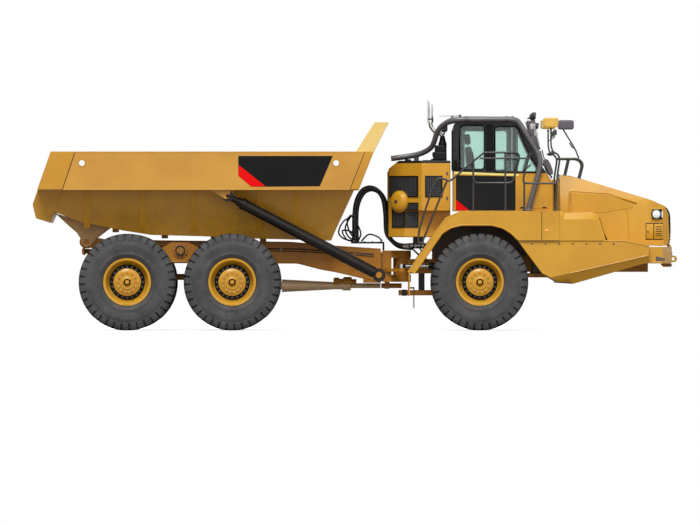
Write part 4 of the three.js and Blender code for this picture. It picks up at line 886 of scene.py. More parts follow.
def exhaust():
    """Black silencer can with bands and a drawn cone, a bent chrome pipe, a stack whose top rim is cut at a
    slant, and two cowls round the can's foot."""
    x, y, z = 1.418, -0.5, 2.7563
    can = [(0, 0), (0, 0.064), (0.012, 0.0685), (0.05, 0.0685), (0.052, 0.0665), (0.23, 0.0665),
           (0.232, 0.0685),
           (0.27, 0.0685), (0.289, 0.066), (0.3, 0.06), (0.35, 0.046), (0.405, 0.036), (0.412, 0.0)]
    pipe = [(x, y, z + 0.4), (x - 0.042, y, z + 0.449), (x - 0.132, y, z + 0.479), (x - 0.192, y, z + 0.559),
            (x - 0.198, y, z + 0.64)]
    stack = [(x - 0.198, y, 3.376), (x - 0.198, y, 3.7)]
    tip = tube([(x - 0.198, y, 3.4), (x - 0.199, y, 3.6), (x - 0.2, y, 3.66), (x - 0.206, y, 3.752)],
               [0.0465, 0.0465, 0.0465, 0.0435], 28, number=1)
    points = tip[0].copy()
    high = points[:, 2] > 3.7
    points[high, 2] = 3.752 - (points[high, 0] - (x - 0.252)) * 0.95
    shapes = [
        turned(can, (x, y, z), UP, 36),
        tube(pipe, 0.0335, 20, bend=0.1, number=1),
        turned([(0, 0.034), (0, 0.05), (0.012, 0.0505), (0.03, 0.048), (0.03, 0.034)], stack[0], UP, 28, 1),
        (points, tip[1], tip[2]),
        rows_of(turned([(0, 0.066), (0, 0.071), (0.014, 0.071), (0.014, 0.066)], (x, y, z + 0.06), UP, 36, 2),
                [(0, 0, 0), (0, 0, 0.15)]),
        brick((x - 0.245, y - 0.052, 3.42), (x - 0.145, y + 0.052, 3.445), 0.004, number=2),
        cushion((1.262, y - 0.1, 2.757), (1.486, y + 0.1, 2.905), 0.22, 0.0, 1, 0, (40, 20)),
        cushion((1.29, y - 0.085, 2.88), (1.48, y + 0.085, 3.01), 0.35, 0.0, 1, 0, (40, 20)),
    ]
    piece("exhaust_pipe", shapes, [BLACK, CHROME, IRON], "tractor",
          ["exhaust_stack"], crease=40)


def intake():
    """Engine air intake: a flanged base, a neck, and a pre-cleaner bowl with swirl vanes."""
    x, y, z = 1.335, 0.3, 2.7563
    bowl = [(0, 0), (0, 0.104), (0.01, 0.105), (0.036, 0.1), (0.04, 0.052), (0.064, 0.05), (0.068, 0.062),
            (0.08, 0.074), (0.128, 0.0785), (0.14, 0.076), (0.147, 0.06), (0.148, 0)]
    vane = brick((x + 0.07, y - 0.004, z + 0.082), (x + 0.0785, y + 0.004, z + 0.126), 0.001)
    piece("intake_bowl_cleaner", [turned(bowl, (x, y, z), UP, 40), ring_of(vane, (x, y, z), UP, 24)],
          DARK_PLASTIC, "tractor", ["intake_bowl"], crease=30)


def mesh_panel(corners, out, pitch=0.03):
    """A framed grille on a flat face: a dark backing, a rim, and two sets of crossing wires. A bar runs
    between two points foot + u across + v up + w out, and is half wide to each side."""
    backing, wire = 1, 2
    a, b, c, d = (np.asarray(p, float) for p in corners)  # foot left, foot right, top right, top left
    out = np.asarray(out, float)
    across, up = b - a, d - a
    width, height = np.linalg.norm(across), np.linalg.norm(up)
    across, up = across / width, up / height
    at = lambda u, v, w: a + across * u + up * v + out * w
    def bar(u0, v0, u1, v1, half, w0, w1, number):
        ends = np.array([[at(u, v, w) for w in (w0, w1)] for u, v in ((u0, v0), (u1, v1))])
        side = np.cross(ends[1, 0] - ends[0, 0], out)
        side = side / np.linalg.norm(side) * half
        grid = np.array([[e[0] - side, e[0] + side, e[1] + side, e[1] - side] for e in ends])
        return capped(grid, number)
    rim = 0.018
    shapes = [bar(0, height / 2, width, height / 2, height / 2, 0.001, 0.004, backing)]
    for u0, v0, u1, v1 in ((0, rim / 2, width, rim / 2), (0, height - rim / 2, width, height - rim / 2),
                           (rim / 2, rim, rim / 2, height - rim), (width - rim / 2, rim, width - rim / 2,
                                                                   height - rim)):
        shapes.append(bar(u0, v0, u1, v1, rim / 2, 0.001, 0.014, backing))
    for k in np.arange(pitch, width - pitch / 2, pitch):
        shapes.append(bar(k, rim, k, height - rim, 0.0025, 0.004, 0.009, wire))
    for k in np.arange(pitch, height - pitch / 2, pitch):
        shapes.append(bar(rim, k, width - rim, k, 0.0025, 0.006, 0.011, wire))
    return shapes


def cooling_details():
    """What stands on the cooling box: grilles, lid rim, filler caps, round air cleaner, latches and
    hinges."""
    shapes = []
    for s in (1, -1):
        face = lambda x: s * (0.48 + (x - 0.539) * 0.52 / 0.527)
        out = np.array((-0.7024, s * 0.7118, 0))
        quad = lambda x0, x1, z0, z1: [(x0, face(x0), z0), (x1, face(x1), z0), (x1, face(x1), z1),
                                       (x0, face(x0), z1)]
        flat = lambda x0, x1, z0, z1, y: [(x0, s * y, z0), (x1, s * y, z0), (x1, s * y, z1), (x0, s * y, z1)]
        shapes += mesh_panel(quad(0.56, 1.024, 2.163, 2.509), out)
        shapes += mesh_panel(quad(0.604, 0.808, 1.67, 2.075), out)
        shapes += mesh_panel(quad(0.812, 1.024, 1.945, 2.075), out)
        shapes += mesh_panel(flat(0.812, 1.024, 1.67, 1.932, 0.74), (0, s, 0))
        shapes += mesh_panel(flat(1.131, 1.414, 2.163, 2.509, 1.0), (0, s, 0))
        # dividing ribs and a foot rail
        shapes += [
            tube([(1.07, s * 1.0, 1.96), (1.07, s * 1.0, 2.7)], 0.012, 8),
            tube([(1.528, s * 1.0, 1.96), (1.528, s * 1.0, 2.7)], 0.01, 8),
            rows_of(brick((1.475, s * 0.998, 2.52), (1.505, s * 1.012, 2.57), 0.004, number=3),
                    [(0, 0, 0), (0, 0, -0.4)]),
        ]
        if s < 0:
            centre = (0.742, face(0.742), 2.09)
            drum = [(0, 0), (0, 0.176), (0.012, 0.18), (0.05, 0.18), (0.062, 0.174), (0.066, 0.166),
                    (0.088, 0.158), (0.108, 0.13), (0.118, 0.09), (0.121, 0)]
            shapes += [turned(drum, centre, out, 40),
                       turned([(0.118, 0), (0.118, 0.03), (0.126, 0.028), (0.126, 0)], centre, out, 20, 3)]
    shapes += [
        brick((1.1, -0.16, 2.7562), (1.4, 0.12, 2.772), 0.005, number=1),
        turned([(0, 0), (0, 0.052), (0.022, 0.052), (0.03, 0.044), (0.03, 0)],
               (0.86, 0.16, 2.7562), UP, 24, 1),
    ]
    # bars across the sloping rear top, and the radiator's core at the back
    shapes += mesh_panel([(0.539, -0.44, 1.6), (0.539, 0.44, 1.6), (0.539, 0.44, 2.58), (0.539, -0.44, 2.58)],
                         (-1, 0, 0), pitch=0.045)
    piece("cooling_box_trim", shapes, [YELLOW, BLACK, GREY_PLASTIC, IRON], "tractor")


# ---------------------------------------------------------------- hood
HOOD_SIDE = 0.9  # the hood's side faces, from the middle


def hood_details():
    """On the hood: side recess lip, raised panel and crease, headlights, corner panels, nose seal, grille,
    ribs, and the round rails with their mirror. A corner panel's point lies at corner(f, z) + lift out."""
    shapes = []
    for s in (1, -1):
        y = s * HOOD_SIDE
        shapes += [
            tube([(3.474, y, 1.905), (3.474, y, 2.262), (4.08, y, 2.225), (4.56, y, 2.075)], 0.013,
                 10, bend=0.05),
            slab([(3.5, 1.91), (3.5, 2.235), (4.07, 2.2), (4.5, 2.068), (4.5, 1.99), (4.02, 1.91)],
                 y - s * 0.002, y + s * 0.005, 0.004),
        ]
        # nose corner: headlight in its housing, over a side vent with a divider
        out = (0.2, s * 0.98, 0)
        corner = lambda f, z, off=0.0: np.array((4.716 + (5.006 - 4.716) * f,
                                                 s * (HOOD_SIDE - 0.06 * f), z)) + \
            np.array(out) * off
        def panel(f0, f1, z0, z1, lift, depth, number):
            inner, outer = lift, lift + depth
            ring = box_of(f0, z0, f1, z1)
            mid = np.array(((f0 + f1) / 2, (z0 + z1) / 2))
            set_in = [tuple(np.array(p) + (mid - p) * 0.06) for p in ring]
            grid = np.array([[corner(f, z, o) for f, z in pts] for pts, o in (
                (ring, inner), (ring, outer - 0.004), (set_in, outer))])
            return capped(grid, number)
        shapes += [
            panel(0.28, 0.97, 1.78, 1.99, 0.0, 0.01, 0),
            panel(0.33, 0.92, 1.802, 1.968, 0.006, 0.008, 1),
            turned([(0.006, 0), (0.01, 0.084), (0.034, 0.08), (0.04, 0.07), (0.034, 0.066), (0.034, 0)],
                   corner(0.56, 1.886), out, 36, 4),
            turned([(0.033, 0), (0.033, 0.066), (0.041, 0.05), (0.045, 0.025), (0.046, 0)],
                   corner(0.56, 1.886), out, 36, 2),
            panel(0.86, 0.92, 1.83, 1.94, 0.01, 0.012, 2),
            panel(-0.02, 0.97, 1.47, 1.745, 0.0, 0.004, 3),
            panel(0.01, 0.41, 1.486, 1.73, 0.002, 0.008, 0), panel(0.45, 0.95, 1.486, 1.73, 0.002, 0.008, 0),
            hexagon(corner(0.1, 1.6, 0.008), out, 0.01, 0.01, number=1),
        ]
        for k in range(5):
            shapes.append(panel(0.52, 0.9, 1.53 + k * 0.036, 1.544 + k * 0.036, 0.008, 0.003, 1))
        # pressed crease in front of the recess
        shapes.append(tube([(4.32, y, 2.02), (4.42, y, 1.95), (4.44, y, 1.5)], 0.01, 8, bend=0.06))
    # rubber seal round the nose, over the top lip and down the corners
    for s in (1, -1):
        shapes.append(tube([(5.003, s * 0.79, 2.012), (5.066, s * 0.73, 1.962), (5.098, s * 0.7, 1.89),
                            (5.107, s * 0.7, 1.6), (5.09, s * 0.7, 1.42)], 0.014, 10, bend=0.04, number=1))
    # front grille: frame, louvre blades, centre bar
    shapes += [
        slab(box_of(-0.66, 1.46, 0.66, 1.86), 5.08, 5.108, 0.004, way="x", number=1),
    ]
    for k in range(9):
        z = 1.485 + 0.042 * k
        shapes.append(slab([(5.098, z), (5.124, z - 0.008), (5.124, z - 0.001), (5.098, z + 0.012)], -0.64,
                           0.64, 0.001, number=1))
    for yy in (-0.22, 0.22):
        shapes.append(brick((5.1, yy - 0.012, 1.465), (5.125, yy + 0.012, 1.855), 0.003, number=1))
    # top: two shallow ribs, and the seal along the rear edge
    for yy in (-0.42, 0.42):
        shapes.append(tube([(3.46, yy, 2.509), (3.646, yy, 2.46), (4.298, yy, 2.263), (4.66, yy, 2.155),
                            (4.862, yy, 2.09)], 0.012, 10))
    shapes.append(tube([(3.3, -0.7, 2.528), (3.3, 0.7, 2.528)], 0.012, 10, number=1))
    piece("hood_trim", shapes, [YELLOW, CAB_BLACK, CLEAR, SEAL, IRON], "hood")
    # rails on top, with the front mirror on its arm and a clip
    over = [tube([(x, y, z) for x, z in xz(points)], 0.0165, 12, bend=0.07)
            for y in (0.69, -0.69)
            for points in ([(1260, 2004), (1612, 2004), (1690, 1919), (1618, 1650)],
                           [(1459, 2004), (1389, 1700)])]
    over += [
        tube([(3.63, -0.69, 2.795), (3.572, -0.69, 2.943), (3.374, -0.69, 3.265)], 0.0125, 12, bend=0.05),
        shell_block((3.288, -0.743, 3.26), (3.55, -0.637, 3.416), number=1),
        slab(box_of(-0.73, 3.272, -0.65, 3.404), 3.292, 3.2865, 0.001, way="x",
             number=2),
        tube([(3.56, -0.69, 2.955), (3.52, -0.69, 2.975), (3.478, -0.69, 3.045)], 0.012, 10,
             bend=0.02, number=1),
    ]
    for y in (0.69, -0.69):
        for x, z in ((3.632, 2.457), (3.405, 2.512)):
            over.append(turned([(0, 0), (0, 0.034), (0.012, 0.032), (0.02, 0.022), (0.02, 0)], (x, y, z),
                               (0.28, 0, 1), 18))
    piece("hood_rails", over, [RAIL_FINISH, MIRROR_SHELL, MIRROR], "hood", crease=50)


def hood_form():
    """The hood, bevelled, without the rails and mirror over its top, which hood_details makes round."""
    made = softened("hood", YELLOW, "yellow_paint", edge=0.014, segments=3)
    work = bmesh.new()
    work.from_mesh(made.data)
    x, y, z = np.array([f.calc_center_median() for f in work.faces]).T
    top = np.interp(x, (3.27, 3.46, 3.646, 4.298), (2.532, 2.522, 2.474, 2.277))
    over = (z > top) & (x < 3.95) & (np.abs(y) > 0.6)
    bmesh.ops.delete(work, geom=[f for f, gone in zip(work.faces, over) if gone], context="FACES")
    work.to_mesh(made.data)
    work.free()


# ---------------------------------------------------------------- handrails, mirrors and lamps
def rail_run(points, y, radius=0.016, bend=0.08):
    """A rail through points (x, z) at one distance from the middle."""
    return tube([(x, y, z) for x, z in xz(points)], radius, 12, bend=bend)


STEP_RAIL = [(840, 2093), (797, 2047), (698, 1660), (719, 1598), (1236, 1598)]
FRONT_LOOP = [(1125, 2093), (1238, 2093), (1298, 2012), (1254, 1736), (1214, 1153.4)]
GRAB_RAIL = [(-999, 634), (-982, 861), (-756, 1558), (-675, 1696), (-529, 1655)]


def foot_plate(x, y):
    """A rail's foot: a small flange with its fillet and two bolts."""
    return [turned([(0, 0), (0, 0.036), (0.006, 0.036), (0.01, 0.026), (0.022, 0.0205), (0.022, 0)],
                   (x, y, DECK_Z), UP, 20),
            rows_of(hexagon((x - 0.028, y, DECK_Z + 0.006), UP, 0.006, 0.005, number=1),
                    [(0, 0, 0), (0.056, 0, 0)])]


def rails():
    """Round handrails on both fenders, each on foot plates, with grip tape at the steps."""
    for side, s in SIDES:
        y = s * RAIL_Y
        step = [rail_run(STEP_RAIL, y), rail_run(FRONT_LOOP, y), rail_run([(719, 1610), (719, 1153.5)], y)]
        step += foot_plate(2.735, y) + foot_plate(3.23, y)
        grab = [rail_run(GRAB_RAIL, y, bend=0.12), rail_run([(-529, 1650), (-934, 640)], y),
                rail_run([(-999, 640), (-934, 634), (-800, 597)], y, bend=0.03)]
        if s < 0:
            deck = [
                rail_run([(71, 2098), (606, 2098), (646, 2028), (530, 1605), (-107, 1605), (-107, 1979)], y),
                rail_run([(71, 2098), (-200, 1882), (-465, 1639), (-529, 1645)], y, bend=0.16),
                rail_run([(412, 2098), (412, 1153.5)], y), rail_run([(-107, 1610), (-107, 1153.5)], y),
                rail_run([(0, 2004), (792, 2004)], y, radius=0.0135),
            ]
            deck += foot_plate(2.428, y) + foot_plate(1.909, y)
            piece("deck_handrails_right", deck + step + grab, [RAIL_FINISH, IRON], "tractor",
                  ["handrail_right"], crease=50)
        else:
            piece("step_handrail_left", step, [RAIL_FINISH, IRON], "tractor",
                  ["handrail_left"], crease=50)
            piece("grab_handrail_left", grab, [RAIL_FINISH, IRON], "tractor",
                  ["grab_rail_left"], crease=50)


def shell_block(low, high, number=0, way=1):
    """A moulded housing: a box whose edges are rounded by the power 0.34 of its sines and cosines."""
    return cushion(low, high, 0.34, 0.0, way, number, (40, 20))


def mirrors():
    """Door mirrors: a clamp on the rail, a bent arm, a moulded head with its glass, and a small wide-angle
    glass."""
    for side, s in SIDES:
        y = s * RAIL_Y
        arm = [(3.196, y, 2.905), (3.166, y, 2.991), (3.166, y, 3.285)]
        shapes = [
            turned([(-0.028, 0), (-0.028, 0.03), (0.028, 0.03), (0.028, 0)], (3.196, y, 2.88),
                   (0.2, 0, 1), 16),
            tube(arm, 0.0135, 12, bend=0.05),
            shell_block((3.044, y - 0.058, 3.29), (3.286, y + 0.058, 3.45), number=1),
            slab(box_of(y - 0.048, 3.29, y + 0.048, 3.44), 3.0375, 3.0335, 0.001,
                 way="x", number=2),
            slab(box_of(3.07, 3.3, 3.262, 3.43), y + s * 0.056, y + s * 0.0585, 0.001,
                 number=3),
            tube([(3.166, y, 3.1), (3.222, y, 3.12), (3.236, y, 3.2)], 0.009, 10, bend=0.03),
            shell_block((3.2, y - 0.03, 3.165), (3.262, y + 0.03, 3.255), number=0),
            turned([(-0.014, 0), (-0.014, 0.019), (0.014, 0.019), (0.014, 0)], (3.166, y, 3.262), UP, 14, 4),
        ]
        piece(f"door_mirror_{side}", shapes, [RAIL_FINISH, AMBER_SHELL, MIRROR, AMBER_SHELL, IRON], "tractor",
              [f"mirror_{side}"], crease=40)


def lamps():
    """Work lamps over the windscreen and behind the cab, with their columns, covers and leads, and the
    aerial."""
    shapes = []
    for s in (1, -1):
        y = s * 0.85
        shapes += [
            # twin work lamps over the windscreen's top corners
            turned([(0, 0), (0, 0.03), (0.02, 0.052), (0.062, 0.058), (0.078, 0.058),
                    (0.08, 0.05), (0.08, 0)],
                   (2.85, y, 3.49), (1, 0, -0.12), 28, 0),
            turned([(0.0795, 0), (0.0795, 0.05), (0.083, 0.046), (0.084, 0)], (2.85, y, 3.49),
                   (1, 0, -0.12), 28, 1),
            tube([(2.815, y, 3.455), (2.85, y, 3.465)], 0.012, 10, number=2),
            turned([(0, 0), (0, 0.026), (0.018, 0.045), (0.056, 0.05), (0.068, 0.05), (0.07, 0)],
                   (2.905, y - s * 0.02, 3.33), (1, 0, -0.25), 28, 0),
            turned([(0.069, 0), (0.069, 0.043), (0.073, 0.038), (0.074, 0)], (2.905, y - s * 0.02, 3.33),
                   (1, 0, -0.25), 28, 1),
            brick((2.85, y - 0.016, 3.29), (2.905, y + 0.016, 3.35), 0.005, number=2),
            # work lamp behind the cab
            shell_block((1.4, s * 0.66 - 0.05, 3.235), (1.5, s * 0.66 + 0.05, 3.33), number=0),
            slab(box_of(s * 0.66 - 0.04, 3.245, s * 0.66 + 0.04, 3.32),
                 1.404, 1.398, 0.001, way="x", number=1),
            tube([(1.45, s * 0.66, 3.24), (1.45, s * 0.66, 3.19), (1.395, s * 0.66, 3.15)], 0.01, 8,
                 bend=0.02, number=2),
            # column of the front bracket, from the leg up to the lamp, and its clamp rings
            tube([(2.862, y, 3.17), (2.915, y, 3.29), (2.905, y, 3.4), (2.875, y, 3.48)], 0.017, 12,
                 bend=0.06, number=2),
            brick((2.835, y - 0.04, 3.165), (2.905, y + 0.04, 3.235), 0.01, number=2),
            capped(np.array([[(2.845 + 0.22 * (3.4 - z) + x, y + d * w, z) for x, d in (
                (-0.052, -1), (0.052, -1), (0.062, 0), (0.052, 1), (-0.052, 1), (-0.062, 0))]
                for z, w in ((3.405, 0.012), (3.39, 0.026), (3.1, 0.03), (2.955, 0.028),
                             (2.935, 0.012))]), 4),
            capped(np.array([[(3.185 - 0.36 * (z - 2.53) + x * w, y + d * 0.026, z) for x, d in (
                (-0.034, -1), (0.034, -1), (0.042, 0), (0.034, 1), (-0.034, 1), (-0.042, 0))]
                for z, w in ((2.78, 0.3), (2.765, 0.75), (2.7, 1.1), (2.6, 1.1), (2.545, 0.75),
                             (2.53, 0.3))]), 4),
            tube([(3.12, y, 2.72), (3.06, y * 1.005, 2.8), (3.03, y, 2.93)], 0.01, 8, bend=0.02, number=2),
            shell_block((2.835, y - 0.036, 3.255), (2.925, y + 0.036, 3.355), number=5),
            shell_block((2.87, y - 0.03, 3.15), (2.965, y + 0.03, 3.235), number=5),
            tube([(2.88, y - 0.04, 3.36), (2.965, y - 0.04, 3.1), (2.99, y - 0.04, 2.97)], 0.011, 8,
                 bend=0.04, number=5),
        ]
    shapes += [
        tube([(1.36, -0.79, 3.4775), (1.7, -0.79, 3.482)], [0.0035, 0.006], 8, number=0),
        turned([(0, 0), (0, 0.026), (0.03, 0.022), (0.05, 0.012), (0.05, 0)], (1.7, -0.79, 3.455), UP, 16, 0),
    ]
    piece("work_lamps", shapes, [DARK_PLASTIC, CLEAR, GREY_PLASTIC, AMBER, MIRROR_SHELL, ALUMINIUM],
          "tractor", crease=42)


# ---------------------------------------------------------------- fenders, skirts and bumper
def skirt(side, s):
    """The side skirt, creased from the step to the bumper: below the crease y shrinks in step with the
    depth."""
    made = softened(f"side_skirt_{side}", YELLOW, "yellow_paint", edge=0.008)
    work = bmesh.new()
    work.from_mesh(made.data)
    start, run = np.array((3.3, 0.891)), np.array((1.446, 0.327))
    across = np.array((-run[1], run[0])) / np.linalg.norm(run)
    bmesh.ops.bisect_plane(work, geom=work.verts[:] + work.edges[:] + work.faces[:],
                                 plane_co=(start[0], 0, start[1]), plane_no=(across[0], 0, across[1]))
    for v in work.verts:
        under = -np.dot(across, np.array((v.co.x, v.co.z)) - start)
        if abs(v.co.y) > 1.36 and under > 1e-4:
            v.co.y -= s * 0.62 * under
    work.to_mesh(made.data)
    work.free()
    creased(made.data, 18)


def fender_details():
    """Fenders, skirts and bumper: arch lips, seams, grip strips, mud flaps, marker lamps, the stepped front
    shoulder, the lining inside the arch in dark brown painted shade and the fittings there, skirt bolts, tow
    hooks, lamps and the blank plate."""
    arch = xz([(-1044, 139), (-597, 784), (-465, 866), (-300, 908), (196, 908), (361, 866), (494, 784),
                        (610, 671)])
    crest = xz([(-1159, 173), (-679, 867), (-548, 1050), (-300, 1153)])
    for side, s in SIDES:
        y = s * 1.43
        inward = arch + (arch - np.array((2.0, 0.8))) * 0.018
        shapes = [
            tube([(x, y - s * 0.004, z) for x, z in inward], 0.013, 10, bend=0.06),
            tube([(x, y - s * 0.012, z - 0.012) for x, z in crest], 0.016, 10, bend=0.1),
            tube([(1.72, y - s * 0.014, 1.925), (3.29, y - s * 0.014, 1.925)], 0.0125, 10),
            tube([(3.018, y + s * 0.0005, 1.46), (3.018, y + s * 0.0005, 1.93)], 0.005, 8, number=1),
            tube([(2.64, y + s * 0.0005, 1.456), (3.3, y + s * 0.0005, 1.456)], 0.004, 8, number=1),
        ]
        for k in range(7):
            shapes.append(slab(box_of(1.86 + 0.19 * k, s * 0.96, 1.99 + 0.19 * k, s * 1.36), 1.9375, 1.9415,
                               0.001, way="z", number=2))
        shapes += [
            slab(box_of(0.868, 0.575, 0.88, 0.96), s * 1.105, s * 1.425, 0.002, number=3),
            brick((0.885, s * 1.12, 0.94), (0.905, s * 1.42, 0.985), 0.003, number=1),
            slab(box_of(0.95, 0.362, 0.958, 0.7), s * 1.12, s * 1.4, 0.001, number=3),
            brick((0.878, s * 1.12, 0.68), (0.962, s * 1.4, 0.7), 0.003, number=1),
            rows_of(hexagon((0.8565, s * 1.16, 0.945), (-1, 0, 0), 0.009, 0.007, number=1),
                    [(0, s * 0.07 * k, 0) for k in range(4)]),
            shell_block((3.06, y - 0.006 - (0.02 if s > 0 else 0), 1.6),
                        (3.14, y + 0.006 + (0.02 if s < 0 else 0), 1.64), number=4),
        ]
        piece(f"fender_trim_{side}", shapes, [YELLOW, SEAL, GRIP, FLAP, AMBER], "tractor")
        # front shoulder of the fender: a stepped box over the skirt, with a sloping upper edge
        shoulder = [(3.308, 1.458), (3.308, 1.934), (3.348, 1.934), (3.388, 1.905), (3.84, 1.912),
                    (3.9, 1.89), (3.955, 1.83), (4.066, 1.458)]
        low = [(3.308, 1.458), (3.308, 1.862), (3.34, 1.862), (3.376, 1.8), (3.83, 1.806), (3.866, 1.796),
               (3.908, 1.752), (4.02, 1.458)]
        ring = lambda outline, at: [(x, s * at, z) for x, z in outline]
        box = [ring(shoulder, 0.907), ring(shoulder, 1.33), ring(shoulder, 1.345), ring(low, 1.412),
               ring(low, 1.418)]
        front = [
            capped(np.array(box)),
            tube([(3.31, s * 1.34, 1.928), (3.348, s * 1.34, 1.928), (3.388, s * 1.34, 1.899),
                  (3.84, s * 1.34, 1.906), (3.9, s * 1.34, 1.884), (3.955, s * 1.34, 1.824)], 0.009,
                 8, bend=0.02),
            tube([(4.058, s * 1.35, 1.47), (3.948, s * 1.35, 1.826)], 0.007, 8, number=1),
        ]
        piece(f"fender_shoulder_{side}", front, [YELLOW, SEAL], "tractor", crease=24)
        liner = [(1.24, 1.34), (1.42, 1.6), (1.62, 1.78), (1.8, 1.86), (2.28, 1.86),
                 (2.5, 1.78), (2.66, 1.62),
                 (2.78, 1.46), (2.78, 1.22), (2.5, 1.22), (2.3, 1.5), (1.7, 1.5), (1.45, 1.22), (1.28, 1.16)]
        inner = [
            # the arch lining in dark brown: painted shade in the wheel well
            slab(liner, s * 0.742, s * 0.756, 0.003),
            tube([(x, s * 0.757, z) for x, z in liner[1:8]], 0.01, 8, bend=0.05),
            brick((2.62, s * 0.8, 0.86), (3.3, s * 0.92, 0.93), 0.008, number=1),
            brick((2.86, s * 0.84, 0.93), (3.02, s * 0.96, 1.18), 0.014, number=2),
            turned([(0, 0), (0, 0.062), (0.01, 0.07), (0.2, 0.07), (0.21, 0.062), (0.21, 0)],
                   (2.9, s * 0.9, 1.28), AHEAD, 24, 2),
        ]
        piece(f"wheel_arch_fittings_{side}", inner, [ARCH_SHADE_BROWN, SHADED_FRAME_YELLOW, CYLINDER], "tractor")
        edge = [
            tube([(3.474, s * 1.396, 0.93), (4.73, s * 1.396, 1.214)], 0.009, 8),
            tube([(2.66, s * 1.4, 1.452), (4.35, s * 1.4, 1.452), (4.748, s * 1.4, 1.366)], 0.01, 8),
            rows_of(hexagon((2.86, s * 1.4, 1.405), (0, s, 0), 0.011, 0.009, number=1),
                    [(0.22 * k, 0, 0) for k in range(7)]),
            brick((3.255, s * 1.15, 0.772), (3.5, s * 1.39, 0.784), 0.002, number=2),
        ]
        piece(f"skirt_trim_{side}", edge, [YELLOW, IRON, GRIP], "tractor")
    bumper = [
        slab(box_of(-0.2, 1.3, 0.2, 1.372), 5.133, 5.1365, 0.001, way="x", number=2),
        rows_of(hexagon((5.134, -0.34, 1.16), AHEAD, 0.014, 0.012, number=1),
                [(0, 0.17 * k, 0) for k in range(5)]),
        rows_of(hexagon((5.134, -0.34, 1.32), AHEAD, 0.014, 0.012, number=1),
                [(0, 0.68 * k, 0) for k in range(2)]),
    ]
    for s in (1, -1):
        bumper += [
            shell_block((5.02, s * 0.64 - 0.07, 1.18), (5.146, s * 0.64 + 0.07, 1.29), number=2, way=0),
            slab(box_of(s * 0.64 - 0.055, 1.193, s * 0.64 + 0.055, 1.277),
                 5.1455, 5.149, 0.001, way="x", number=3),
            tube([(4.78, s * 1.249, 1.105), (4.97, s * 1.249, 1.105), (5.1, s * 0.95, 1.105)], 0.012,
                 8, bend=0.05),
            # tow hook plate under the corner, and the dark pocket above it
            slab([(4.99, 1.1), (5.12, 1.1), (5.15, 1.062), (5.128, 1.032), (5.03, 1.032), (5.0, 1.06)],
                 s * 0.6, s * 0.635, 0.004, number=4),
            turned([(0, 0.012), (0, 0.03), (0.042, 0.03), (0.042, 0.012)], (5.098, s * 0.597, 1.066),
                   (0, s, 0), 20, 1),
            slab([(4.865, 1.125), (5.01, 1.125), (5.01, 1.175), (4.865, 1.205)], s * 1.2495, s * 1.2515,
                 0.0006, number=1),
        ]
    piece("bumper_trim", bumper, [YELLOW, IRON, DARK_PLASTIC, CLEAR, SHADED_FRAME_YELLOW], "tractor")


# ---------------------------------------------------------------- chassis
BEAM_X, BEAM_Z = -2.842, 1.297  # the walking beams' pivot


